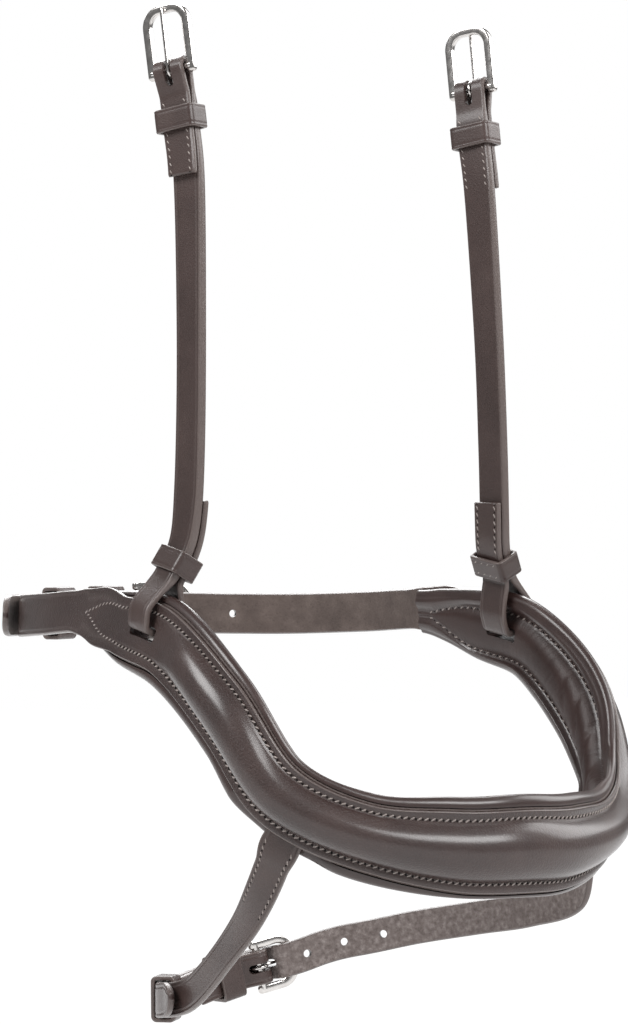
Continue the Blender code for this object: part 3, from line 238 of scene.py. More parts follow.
rearSizes = {"width": 0.016, "buckle": 0.367, "tip": 0.453, "turnBack": 0.027, "fixedKeeper": 0.0132,
             "slidingKeeper": 0.0355, "holePitch": 0.0307, "spareHoles": 1, "flare": 0.010,
             "creaseFade": (0.004, 0.014),
             "tipRise": [(0.044, 0.0), (0.022, 0.0012), (0.0, 0.0036)]}
buckleSizes = {"rimWidth": 0.0032, "rimThickness": 0.0026, "bar": 0.0015, "length": 0.0245,
               "flashLength": 0.0155, "heel": 0.0026, "corner": 0.0078, "heelRound": 0.0014, "squareness": 4.6,
               "tongueWidth": 0.0022, "tongueThickness": 0.0013, "tongueRound": 0.0012, "tongueSquareness": 3.4,
               "tongueFoot": 0.004, "endSteps": [0.0002, 0.0005, 0.0009]}
strapDetail = {"holeWidth": 0.0030, "tipLength": 0.012, "tipLeast": 0.0012, "tongueSlot": 0.019,
               "drawn": 0.0014, "backStarts": 0.0062, "crease": 0.0016, "creaseDepth": 0.00016, "bevel": 0.0008,
               "rowInset": 0.0019, "threadSink": 0.00012, "step": 0.0014, "blur": 0.0012,
               # a billet dips from 26 to 6 mm before the rim, and rises from 2.5 mm past it to 3 mm
               # before the bar, and lies level from 1 mm past the bar
               "billetRun": (0.026, 0.0060, 0.0025, 0.0030, 0.001),
               "tipPlaces": [0.86, 0.72, 0.6, 0.48, 0.38, 0.28, 0.2, 0.13, 0.08, 0.04, 0.015, 0.0]}


def facingPath(points, leans):
    rows = np.hstack([np.array(points), np.array(leans)[:, None]])
    dense = smoothSpline(rows, True)
    lean = np.radians(dense[:, 3])
    line = dense[:, :3]
    ahead = np.roll(line, -1, axis=0) - np.roll(line, 1, axis=0)
    level = unitRows(np.stack([ahead[:, 1], -ahead[:, 0], np.zeros(len(ahead))], axis=1))
    hints = level * np.cos(lean)[:, None] + np.array([0, 0, 1.0]) * np.sin(lean)[:, None]
    return LeatherPath(line, hints, "face", closed=True, blur=0.006)


wholeRing = ringPoints + [(-x, y, z, lean) for x, y, z, lean in ringPoints[-2:0:-1]]
ring = facingPath([row[:3] for row in wholeRing], [row[3] for row in wholeRing])
print("ring of", round(ring.length * 1000), "mm")


class NodeMaker:
    # adds nodes to a tree; an input is given a socket, a node (its first output) or a plain value

    def __init__(self, tree):
        self.tree = tree

    def feed(self, node, given):
        for label, value in given.items():
            if isinstance(value, bpy.types.Node):
                value = value.outputs[0]
            if isinstance(value, bpy.types.NodeSocket):
                self.tree.links.new(value, node.inputs[label])
            else:
                node.inputs[label].default_value = value
        return node

    def add(self, kind, given=None, **settings):
        node = self.tree.nodes.new(kind)
        for key, value in settings.items():
            setattr(node, key, value)
        return self.feed(node, given or {})

    def reckon(self, operation, *values):
        return self.add("ShaderNodeMath", dict(enumerate(values)), operation=operation).outputs["Value"]

    def noise(self, where, scale, detail=2.0, roughness=0.5, output="Fac"):
        return self.add("ShaderNodeTexNoise", {"Vector": where, "Scale": scale, "Detail": detail,
                                               "Roughness": roughness}).outputs[output]

    def attribute(self, name):
        return self.add("ShaderNodeAttribute", attribute_name=name).outputs["Fac"]

    def mix(self, factor, a, b, blend="MIX"):
        return self.add("ShaderNodeMix", {"Factor": factor, "A": a, "B": b}, data_type="RGBA",
                        blend_type=blend).outputs["Result"]

    def spread(self, value, low, high):
        return self.add("ShaderNodeMapRange", {"Value": value, "To Min": low, "To Max": high}).outputs["Result"]

    def bump(self, height, strength, distance, under=None):
        node = self.add("ShaderNodeBump", {"Height": height, "Strength": strength, "Distance": distance})
        if under:
            self.feed(node, {"Normal": under})
        return node.outputs["Normal"]

    def ramp(self, factor, stops):
        node = self.add("ShaderNodeValToRGB", {"Fac": factor})
        elements = node.color_ramp.elements
        elements[0].position, elements[1].position = stops[0][0], stops[-1][0]
        for place, colour in stops[1:-1]:
            elements.new(place)
        for element, (place, colour) in zip(elements, stops):
            element.color = colour + (1.0,)
        return node.outputs["Color"]


def newMaterial(name):
    skin = bpy.data.materials.new(name)
    skin.use_nodes = True
    maker = NodeMaker(skin.node_tree)
    where = maker.add("ShaderNodeTexCoord").outputs["Object"]
    return skin, maker, skin.node_tree.nodes["Principled BSDF"], where


def leatherMaterial(name, looks):
    # grain from small cells, a slow colour drift, a painted highlight (a pale colour) along the cut edges and
    # creased lines, and dark pores
    skin, maker, shader, where = newMaterial(name)
    grain = looks["grainScale"]
    drift = maker.noise(where, looks["driftScale"], 5.0, 0.6)
    bent = maker.noise(where, grain * 0.4, output="Color")
    shifted = maker.add("ShaderNodeVectorMath", {0: bent, 1: (looks["grainBend"],) * 3, 2: where},
                        operation="MULTIPLY_ADD").outputs[0]
    cells = maker.add("ShaderNodeTexVoronoi", {"Vector": shifted, "Scale": grain,
                                               "Randomness": 1.0}).outputs["Distance"]
    fine = maker.noise(where, grain * 2.2, 3.0)
    tint = maker.ramp(drift, [(0.25, looks["dark"]), (0.5, looks["middle"]), (0.78, looks["light"])])
    # the edge attribute lifts the colour towards a pale tone: painted highlight along edges and creases
    edgeHighlighted = maker.mix(maker.attribute("edge"), tint, looks["edgeHighlightColour"] + (1.0,))
    poreTint = maker.ramp(cells, [(0.0, (0.55, 0.5, 0.5)), (0.35, (1.0, 1.0, 1.0))])
    height = maker.reckon("MULTIPLY_ADD", fine, looks["fineShare"], cells)
    normal = maker.bump(height, looks["bump"], looks["bumpDistance"])
    coat = looks["coat"]
    if "puckerPitch" in looks:
        # fine creases drawn up by the stitches, stronger near a row
        stray = maker.reckon("MULTIPLY", maker.noise(where, looks["strayScale"]), looks["stray"])
        phase = maker.reckon("MULTIPLY_ADD", maker.attribute("along"), 2 * math.pi / looks["puckerPitch"], stray)
        share = maker.reckon("MULTIPLY_ADD", maker.attribute("pucker"), looks["puckerShare"],
                             looks["puckerLeast"])
        lifted = maker.reckon("MULTIPLY", maker.reckon("SINE", phase), share)
        normal = maker.bump(lifted, looks["puckerBump"], looks["puckerDistance"], normal)
        coat = maker.reckon("MULTIPLY", maker.attribute("gloss"), coat)  # the crown is duller than the rolls
    low, high = looks["roughness"] - looks["roughSpread"], looks["roughness"] + looks["roughSpread"]
    pored = maker.mix(looks["poreDepth"], edgeHighlighted, poreTint, "MULTIPLY")
    maker.feed(shader, {"Base Color": pored, "Normal": normal,
                        "Roughness": maker.spread(drift, low, high), "Specular IOR Level": looks["specular"],
                        "Sheen Weight": looks["sheen"], "Sheen Roughness": 0.5, "Coat Weight": coat,
                        "Coat Roughness": looks["coatRoughness"]})
    return skin


havanaLooks = {
    "dark": (0.024, 0.0112, 0.0094), "middle": (0.036, 0.0182, 0.0156), "light": (0.056, 0.0315, 0.0272),
    # the edge colour below is the pale tone of the painted highlight along edges and creases
    "edgeHighlightColour": (0.120, 0.092, 0.084), "driftScale": 34.0, "grainScale": 1250.0, "grainBend": 0.0004,
    "poreDepth": 0.45, "roughness": 0.50, "roughSpread": 0.05, "fineShare": 0.9, "bump": 1.0,
    "bumpDistance": 0.00026, "specular": 0.38, "sheen": 0.0, "coat": 1.0, "coatRoughness": 0.25,
}
strapLooks = dict(havanaLooks, coat=0.60, specular=0.40, grainScale=1700.0, bump=0.35,
                  dark=(0.033, 0.0178, 0.0152), middle=(0.048, 0.0276, 0.0240), light=(0.072, 0.0450, 0.0395))
backingLooks = dict(havanaLooks, coat=0.05)
liningLooks = dict(havanaLooks, grainScale=1200.0, bump=0.22, bumpDistance=0.00016, coat=0.85, coatRoughness=0.24,
                   puckerPitch=0.0013, puckerBump=0.45, puckerLeast=0.02, puckerShare=0.85,
                   puckerDistance=0.00016, strayScale=260.0, stray=14.0)
fleshLooks = dict(havanaLooks, dark=(0.060, 0.042, 0.036), middle=(0.095, 0.070, 0.061),
                  light=(0.150, 0.116, 0.102), driftScale=95.0, grainScale=620.0, grainBend=0.001, poreDepth=0.5,
                  roughness=0.72, roughSpread=0.10, bump=0.45, bumpDistance=0.0003, coat=0.0, sheen=0.12)
# a much lighter copy of the flesh side for the flash billet: painted light, for a strap that faces the lamps
flashFleshPaintedLightLooks = dict(fleshLooks, dark=(0.085, 0.064, 0.058), middle=(0.165, 0.135, 0.126),
                       light=(0.300, 0.262, 0.250), driftScale=480.0, bump=0.8)
leather = leatherMaterial("bridleLeather", havanaLooks)
strapLeather = leatherMaterial("strapLeather", strapLooks)
backingLeather = leatherMaterial("backingLeather", backingLooks)
liningLeather = leatherMaterial("liningLeather", liningLooks)
fleshLeather = leatherMaterial("fleshSideLeather", fleshLooks)
flashFleshPaintedLightLeather = leatherMaterial("flashFleshSidePaintedLightLeather", flashFleshPaintedLightLooks)


def mottledMaterial(name, looks):
    # a plain material whose colour varies a little from place to place
    skin, maker, shader, where = newMaterial(name)
    noise = maker.noise(where, looks["scale"], looks.get("detail", 2.0))
    maker.feed(shader, {"Base Color": maker.ramp(noise, [(0.3, looks["dark"]), (0.7, looks["light"])])})
    maker.feed(shader, looks["shader"])
    if "rough" in looks:
        maker.feed(shader, {"Roughness": maker.spread(noise, *looks["rough"])})
    if "bump" in looks:
        maker.feed(shader, {"Normal": maker.bump(noise, *looks["bump"])})
    return skin


steel = mottledMaterial("polishedSteel", {
    "scale": 420.0, "detail": 4.0, "dark": (0.62, 0.595, 0.575), "light": (0.76, 0.735, 0.715),
    "rough": (0.10, 0.24), "bump": (0.05, 0.0001), "shader": {"Metallic": 1.0}})
thread = mottledMaterial("waxedThread", {
    "scale": 2400.0, "dark": (0.19, 0.155, 0.14), "light": (0.44, 0.385, 0.36), "shader": {"Roughness": 0.34}})
# near-black discs between the stitches: painted shade in the pricked holes
paintedHoleShade = mottledMaterial("paintedHoleShade", {
    "scale": 900.0, "dark": (0.006, 0.004, 0.004), "light": (0.014, 0.010, 0.009),
    "shader": {"Roughness": 0.8, "Specular IOR Level": 0.2}})
felt = mottledMaterial("feltCore", {
    "scale": 700.0, "detail": 6.0, "dark": (0.17, 0.15, 0.13), "light": (0.30, 0.27, 0.24),
    "bump": (0.6, 0.0005), "shader": {"Roughness": 0.95}})
print("materials made")


def dress(piece, body, node=None):
    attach(piece, body)
    if node:
        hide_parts(node)


def gridFaces(rows, columns, closed=False):
    i = np.arange(rows if closed else rows - 1)[:, None]
    j = np.arange(columns)[None, :]
    here, after, beside = i * columns, (i + 1) % rows * columns, (j + 1) % columns
    return np.stack([here + j, here + beside, after + beside, after + j], axis=2).reshape(-1, 4).tolist()


def addLayer(mesh, label, values, kind="FLOAT", field="value"):
    layer = mesh.attributes.new(label, kind, "POINT")
    layer.data.foreach_set(field, np.ascontiguousarray(values, dtype=np.float32).reshape(-1))


def meshFrom(bm, mesh):
    bmesh.ops.recalc_face_normals(bm, faces=bm.faces)
    bm.to_mesh(mesh)
    bm.free()
    return mesh


def loftMesh(name, stations, rings, marks):
    # rings[i][j] is (t, n) at station i; marks[i][j] is how much of the painted edge highlight the point takes
    rows, columns = rings.shape[:2]
    verts = np.empty((rows, columns, 3))
    verts[:, :, 0] = np.asarray(stations)[:, None]
    verts[:, :, 1:] = rings
    ends = [list(range(columns - 1, -1, -1)), list(range((rows - 1) * columns, rows * columns))]
    mesh = bpy.data.meshes.new(name)
    mesh.from_pydata(verts.reshape(-1, 3).tolist(), [], gridFaces(rows, columns) + ends)
    addLayer(mesh, "edge", marks)
    bm = bmesh.new()
    bm.from_mesh(mesh)
    return meshFrom(bm, mesh)


def loftAlong(name, stations, section, *skins):
    # section gives the points and edge marks at a place along the leather
    rings, marks = zip(*[section(p) for p in stations])
    return addObject(name, loftMesh(name, stations, np.array(rings), np.array(marks)), *skins)


def arcPoints(x, y, radius, angles):
    return [(x + radius * math.cos(math.radians(a)), y + radius * math.sin(math.radians(a))) for a in angles]


def cutterPiece(name, place, length, width, corner=None, depth=0.03, steps=6):
    # upright cutter with rounded corners, for flat leather
    radius = width / 2 if corner is None else corner
    reachX = max(length / 2 - radius, 0.0)
    reachY = max(width / 2 - radius, 0.0)
    outline = []
    for q, (signX, signY) in enumerate(((1, 1), (-1, 1), (-1, -1), (1, -1))):
        for point in arcPoints(place[0] + signX * reachX, place[1] + signY * reachY, radius,
                               np.linspace(90 * q, 90 * q + 90, steps + 1)):
            if not outline or math.dist(point, outline[-1]) > 1e-6:
                outline.append(point)
    if math.dist(outline[0], outline[-1]) < 1e-6:
        outline.pop()
    bm = bmesh.new()
    face = bm.faces.new([bm.verts.new((x, y, -depth / 2)) for x, y in outline])
    up = bmesh.ops.extrude_face_region(bm, geom=[face])["geom"]
    bmesh.ops.translate(bm, vec=(0, 0, depth), verts=[v for v in up if isinstance(v, bmesh.types.BMVert)])
    return addObject(name, meshFrom(bm, bpy.data.meshes.new(name)))


def slotCutters(places):
    return [cutterPiece("slotCut", (place, bandSizes["slotRaise"]), bandSizes["slotLength"],
                        bandSizes["slotHeight"], bandSizes["slotCorner"]) for place in places]


def tongueCutter(place, length):
    return cutterPiece("tongueCut", (place, 0), length, buckleSizes["tongueWidth"] + 2 * looseGap)


def holeCutters(place, drawn, sizes):
    # the hole in use, drawn long by its tongue, and the spare ones
    wide = strapDetail["holeWidth"]
    lengths = [drawn] + [wide] * sizes["spareHoles"]
    return [cutterPiece("holeCut", (place - k * sizes["holePitch"], 0), length, wide)
            for k, length in enumerate(lengths)]


def applyModifiers(piece):
    bpy.context.view_layer.update()
    mesh = bpy.data.meshes.new_from_object(piece.evaluated_get(bpy.context.evaluated_depsgraph_get()))
    piece.modifiers.clear()
    piece.data = mesh
    return mesh


def cutAway(piece, cutters):
    skins = list(piece.data.materials)
    for cutter in cutters:
        modifier = piece.modifiers.new(cutter.name, "BOOLEAN")
        modifier.object = cutter
        modifier.solver = "EXACT"
        modifier.material_mode = "INDEX"
    mesh = applyModifiers(piece)
    mesh.materials.clear()
    for skin in skins:
        mesh.materials.append(skin)
    for cutter in cutters:
        bpy.data.objects.remove(cutter, do_unlink=True)


def moveVerts(mesh, place):
    co = np.empty(len(mesh.vertices) * 3)
    mesh.vertices.foreach_get("co", co)
    co = co.reshape(-1, 3)
    mesh.vertices.foreach_set("co", np.asarray(place(co[:, 0], co[:, 1], co[:, 2])).reshape(-1))
    mesh.update()


def markFleshSide(mesh):
    # second material on the inner face of a strap that isn't bent yet
    for face in mesh.polygons:
        face.material_index = 1 if face.normal.z < -0.6 else 0


def smoothMesh(mesh, angle=38):
    bm = bmesh.new()
    bm.from_mesh(mesh)
    bmesh.ops.triangulate(bm, faces=[face for face in bm.faces if len(face.verts) > 4])
    meshFrom(bm, mesh)
    mesh.shade_smooth()
    mesh.set_sharp_from_angle(angle=math.radians(angle))


def finishStrap(piece, cutters, place, body, node, angle=38):
    # cut while it is flat, then bent to its path
    cutAway(piece, cutters)
    if len(piece.data.materials) > 1:
        markFleshSide(piece.data)
    moveVerts(piece.data, place)
    smoothMesh(piece.data, angle)
    dress(piece, body, node)


def endPlaces(start, end, step, rounded=0.0008, apart=0.0003):
    # stations from start to end, with closer ones where an end is rounded
    shares = np.array([0.0, 0.08, 0.3, 0.6, 1.0])
    head, tail = start + rounded * shares, end - rounded * shares[::-1]
    between = np.arange(start + 1.5 * rounded, end - 1.5 * rounded, step)
    return np.concatenate([head, between[(between > head[-1] + apart) & (between < tail[0] - apart)], tail])


def tippedPlaces(total):
    length = strapDetail["tipLength"]
    return np.concatenate([endPlaces(0.0, total - length, strapDetail["step"]),
                           total - length * np.array(strapDetail["tipPlaces"])])


def roundedEnd(distance, reach=0.0008):
    # 1 inside, down to a small share at the very end
    u = min(max(distance / reach, 0.0), 1.0)
    return 0.25 + 0.75 * math.sqrt(max(1 - (1 - u) ** 2, 0.0))


def stitchTree():
    # lays a thread and, in its hole, a near-black disc of painted shade at every step of a sewn row
    tree = bpy.data.node_groups.new("sewnRow", "GeometryNodeTree")
    sockets = [("INPUT", "Geometry", "Geometry", None), ("INPUT", "Stitch Pitch", "Float", 0.003),
               ("INPUT", "Stitch Length", "Float", 0.0022), ("INPUT", "Thread Width", "Float", 0.0007),
               ("INPUT", "Slant", "Float", math.radians(12)), ("INPUT", "Hole Width", "Float", 0.0008),
               ("INPUT", "Thread", "Material", None), ("INPUT", "Hole", "Material", None),
               ("OUTPUT", "Geometry", "Geometry", None)]
    for way, label, kind, value in sockets:
        socket = tree.interface.new_socket(label, in_out=way, socket_type="NodeSocket" + kind)
        if value is not None:
            socket.default_value = value
    maker = NodeMaker(tree)
    given = maker.add("NodeGroupInput").outputs
    curve = maker.add("GeometryNodeMeshToCurve", {"Mesh": given["Geometry"]})
    points = maker.add("GeometryNodeCurveToPoints", {"Curve": curve, "Length": given["Stitch Pitch"]},
                       mode="LENGTH")
    outward = maker.add("GeometryNodeInputNamedAttribute", {"Name": "faceDirection"},
                        data_type="FLOAT_VECTOR")
    along = maker.add("FunctionNodeAlignRotationToVector", {"Vector": points.outputs["Tangent"]}, axis="X")
    upright = maker.add("FunctionNodeAlignRotationToVector", {"Rotation": along, "Vector": outward}, axis="Z",
                        pivot_axis="X")

    def laid(long, wide, flat, slant, shift, skin):
        # a flattened ball at every point, moved on by a share of the pitch
        ball = maker.add("GeometryNodeMeshUVSphere", {"Segments": 8, "Rings": 5, "Radius": 0.5})
        height = maker.reckon("MULTIPLY", given[wide], flat)
        size = maker.add("ShaderNodeCombineXYZ", {"X": given[long], "Y": given[wide], "Z": height})
        turned = maker.add("ShaderNodeCombineXYZ", slant)
        moved = maker.add("ShaderNodeCombineXYZ", {"X": maker.reckon("MULTIPLY", given["Stitch Pitch"], shift)})
        shaped = maker.add("GeometryNodeTransform", {"Geometry": ball, "Scale": size, "Rotation": turned,
                                                     "Translation": moved})
        smooth = maker.add("GeometryNodeSetShadeSmooth", {"Geometry": shaped})
        placed = maker.add("GeometryNodeInstanceOnPoints", {"Points": points, "Instance": smooth,
                                                            "Rotation": upright})
        real = maker.add("GeometryNodeRealizeInstances", {"Geometry": placed})
        return maker.add("GeometryNodeSetMaterial", {"Geometry": real, "Material": given[skin]})

    # the second part is the near-black disc of painted shade in each hole
    parts = [laid("Stitch Length", "Thread Width", 0.75, {"Z": given["Slant"]}, 0.0, "Thread"),
             laid("Hole Width", "Hole Width", 0.25, {}, 0.5, "Hole")]
    joined = maker.add("GeometryNodeJoinGeometry")
    for part in parts:
        maker.feed(joined, {"Geometry": part})
    maker.add("NodeGroupOutput", {"Geometry": joined})
    return tree


sewnRow = stitchTree()


def sewRows(name, rows, body, stitch):
    # rows: list of (points, outward directions); all become one mesh of thread and painted hole shade for a body
    verts = np.vstack([points for points, outward in rows])
    counts = [len(points) for points, outward in rows]
    starts = np.cumsum([0] + counts[:-1])
    edges = [(first + k, first + k + 1) for first, count in zip(starts.tolist(), counts)
             for k in range(count - 1)]
    mesh = bpy.data.meshes.new(name)
    mesh.from_pydata(verts.tolist(), edges, [])
    addLayer(mesh, "faceDirection", np.vstack([outward for points, outward in rows]), "FLOAT_VECTOR", "vector")
    draft = addObject(name, mesh)
    modifier = draft.modifiers.new("sewnRow", "NODES")
    modifier.node_group = sewnRow
    wanted = {"Stitch Pitch": stitch["pitch"], "Stitch Length": stitch["length"], "Thread Width": stitch["width"],
              "Slant": math.radians(stitch["slant"]), "Hole Width": stitch["hole"], "Thread": thread,
              "Hole": paintedHoleShade}
    for item in sewnRow.interface.items_tree:
        if item.in_out == "INPUT" and item.name in wanted:
            modifier[item.identifier] = wanted[item.name]
    applyModifiers(draft)
    dress(draft, body)


def halfHeight(d):
    return valueAlong(bandSizes["halfHeight"], d)


def baseEdge(d, side):
    return halfHeight(d) - valueAlong(bandSizes["upperRoll" if side > 0 else "lowerRoll"], d)


def leatherEdge(d, side):
    inner = baseEdge(d, side) - bandSizes["faceSetback"]
    covered = easeBetween(d, bandSizes["coverStart"], bandSizes["coverEnd"])
    return inner * (1 - covered) + halfHeight(d) * covered


def faceThickness(d):
    thin, full = bandSizes["faceThickness"], bandSizes["strapThickness"]
    return full + (thin - full) * (1 - easeBetween(d, bandSizes["slotPlace"] - 0.01, bandSizes["padEnd"]))


def domeProfile(d, t, top, bottom, upperInset, lowerInset):
    # height of the raised face over the band at height t
    rise = float(valueAlong(bandSizes["dome"], d))
    high = top - upperInset - bandSizes["domeGap"]
    low = bottom + lowerInset + bandSizes["domeGap"]
    if rise <= 0 or high <= low:
        return 0.0
    share = abs((t - (high + low) / 2) / ((high - low) / 2))
    return rise * (1 - min(share, 1.0) ** bandSizes["domePower"]) ** bandSizes["domeRound"]


def bandFace(d):
    # outer leather's section over the band, relative to the base's outer face
    top = float(leatherEdge(d, 1))
    bottom = -float(leatherEdge(d, -1))
    thick = float(faceThickness(d))
    upper = float(valueAlong(bandSizes["upperInset"], d))
    lower = float(valueAlong(bandSizes["lowerInset"], d))
    return top, bottom, thick, upper, lower


# offsets and depths of the stitch groove near an edge, and the places between two grooves
grooveOffsets = [0.30, 0.62, 0.85, 1.0, 1.15, 1.38]
grooveDepths = [0.0, 0.15, 0.75, 1.0, 0.75, 0.15]
evenShares = (0.5 - 0.5 * np.cos(np.linspace(0, np.pi, 18)))[1:-1]
sectionSizes = {"grooveDepth": 0.00028, "grooveEnds": (0.198, 0.210), "bevel": 0.0005, "lip": 0.0003,
                "edgeHighlightMark": 0.9, "backPoints": 15}


# gives points the mark for the painted edge highlight
def edgeMarked(points, mark=sectionSizes["edgeHighlightMark"]):
    return [(t, n, mark) for t, n in points]


def faceSection(d, level):
    # points (t, n) of the outer leather at a distance d from the nose, and how much painted edge highlight each
    # takes
    top, bottom, thick, upper, lower = bandFace(d)
    bevel, lip = sectionSizes["bevel"], sectionSizes["lip"]
    depth = sectionSizes["grooveDepth"] * float(1 - easeBetween(d, *sectionSizes["grooveEnds"]))
    shoulder = sewnGap + thick - bevel

    def outerAt(t):
        return sewnGap + thick + domeProfile(d, t, top, bottom, upper, lower)

    def innerAt(t):
        return sewnGap + domeProfile(d, t, top - 0.3 * thick, bottom + 0.3 * thick, upper, lower)

    grooves = list(zip(grooveOffsets, grooveDepths))
    near = [(bottom + bevel, 0.0)] + [(bottom + max(lower * o, 1.1 * bevel), g) for o, g in grooves]
    far = [(top - bevel, 0.0)] + [(top - max(upper * o, 1.1 * bevel), g) for o, g in grooves]
    inside = near[-1][0] + (far[-1][0] - near[-1][0]) * evenShares
    # the creased grooves take a share of the painted edge highlight, the bevelled edges most of it
    rows = [(t, outerAt(t) - depth * g, 0.25 * g) for t, g in near + [(t, 0.0) for t in inside] + far[::-1]]
    rows += edgeMarked(arcPoints(top - bevel, shoulder, bevel, (65, 40, 15)) + [(top, sewnGap + lip)])
    rows += [(t, innerAt(t), 0.2) for t in bottom + lip + (top - bottom - 2 * lip)
             * np.linspace(1, 0, sectionSizes["backPoints"])]
    rows += edgeMarked([(bottom, sewnGap + lip)] + arcPoints(bottom + bevel, shoulder, bevel, (165, 140, 115)))
    return [(t, n - level) for t, n, mark in rows], [mark for t, n, mark in rows]


def strapSection(half, thick, crease=strapDetail["creaseDepth"]):
    # the same number of points for a plain strap
    bevel = min(strapDetail["bevel"], 0.4 * thick, 0.45 * half)
    reach = min(strapDetail["crease"], 0.5 * half)
    shoulder = thick / 2 - bevel
    near = [(-half + bevel, 0.0)] + [(-half + max(reach * o, 1.05 * bevel), g)
                                     for o, g in zip(grooveOffsets, grooveDepths)]
    inside = [(t, 0.0) for t in near[-1][0] * (1 - 2 * evenShares)]
    far = [(-t, g) for t, g in near[::-1]]
    # the creased lines take a share of the painted edge highlight, the bevelled edges most of it
    rows = [(t, thick / 2 - crease * g, 0.3 * g) for t, g in near + inside + far]
    rows += edgeMarked(arcPoints(half - bevel, shoulder, bevel, (60, 35, 10)) + [(half, -shoulder)])
    rows += [((half - 0.7 * bevel) * share, -thick / 2, 0.2 if abs(share) == 1 else 0.0)
             for share in np.linspace(1, -1, sectionSizes["backPoints"])]
    rows += edgeMarked([(-half, -shoulder)] + arcPoints(-half + bevel, shoulder, bevel, (170, 145, 120)))
    return [(t, n) for t, n, mark in rows], [mark for t, n, mark in rows]


def tipThinned(fromTip):
    # share of the thickness near a billet's tip
    return 0.35 + 0.65 * roundedEnd(fromTip, 0.0015)


def tipHalf(half, fromTip):
    # half the width near a billet's rounded tip
    u = min(max(fromTip / strapDetail["tipLength"], 0.0), 1.0)
    return max(half * (1 - (1 - u) ** 2) ** 0.62, strapDetail["tipLeast"])


class BuckledEnd:
    # levels of a chape folded round its bar and of the billet that comes under the rim and over the bar

    def __init__(self, base, barPlace, thickness, level, length, tipPlace, tipRise):
        self.base, self.barPlace, self.thickness = base, barPlace, thickness
        self.level, self.length = level, length
        bar, rim = buckleSizes["bar"], buckleSizes["rimThickness"]
        self.fold = bar + sewnGap + thickness / 2
        self.barLevel = level - self.fold
        self.backLevel = level - thickness - layerGap
        self.under = self.barLevel - rim / 2 - sewnGap - thickness / 2
        self.over = level + thickness + sewnGap
        rimPlace = barPlace - length + buckleSizes["rimWidth"]
        leaves, dipped, rises, risen, rests = strapDetail["billetRun"]
        self.table = [(rimPlace - leaves, level), (rimPlace - dipped, self.under), (rimPlace + rises, self.under),
                      (barPlace - risen, self.over), (barPlace + rests, self.over)]
        self.table += [(tipPlace - gap, self.over + rise) for gap, rise in tipRise]

    def billetLevel(self, s):
        return valueAlong(self.table, s)

    def hole(self, path):
        base = self.barLevel + buckleSizes["rimThickness"] / 2 + sewnGap
        s = np.linspace(self.table[2][0], self.table[3][0], 400)
        levels = self.billetLevel(s)
        ends = []  # where the tongue enters the billet and where it leaves it
        reach = 0.62 * self.thickness
        for level in (base - reach, base + buckleSizes["tongueThickness"] + reach):
            place = float(np.interp(level, levels, s))
            ends.append(path.nearest(self.base.at(place, 0, float(self.billetLevel(place)))))
        return (ends[0] + ends[1]) / 2, abs(ends[1] - ends[0]) + 2 * looseGap + 0.4 * strapDetail["holeWidth"]

    def chapeRows(self, end, turnBack):
        s = np.arange(self.barPlace + turnBack, self.barPlace + strapDetail["backStarts"], -0.001)
        points = [self.base.place(s, 0, self.backLevel)]
        widths = [self.base.frames(s)[2]]
        point, ahead, across, face = (row[0] for row in self.base.frames(self.barPlace))
        centre = point + face * self.barLevel
        angles = np.radians(np.linspace(-84, -270, 20))[:, None]
        points.append(centre + (ahead * np.cos(angles) + face * np.sin(angles)) * self.fold)
        widths.append(np.repeat(across[None, :], len(angles), axis=0))
        s = np.arange(self.barPlace + 0.001, end, 0.001)
        points.append(self.base.place(s, 0, self.level))
        widths.append(self.base.frames(s)[2])
        return np.vstack(points), np.vstack(widths), centre - ahead * self.fold

    def billetRows(self, start, tipPlace):
        s = np.arange(start, tipPlace, 0.001)
        return self.base.place(s, 0, self.billetLevel(s)), self.base.frames(s)[2]


bandStitch = {"pitch": 0.0025, "length": 0.0021, "width": 0.00068, "slant": 36, "hole": 0.00085}
rowPoints = 900
strapStitch = {"pitch": 0.0026, "length": 0.0019, "width": 0.00062, "slant": 32, "hole": 0.00075}


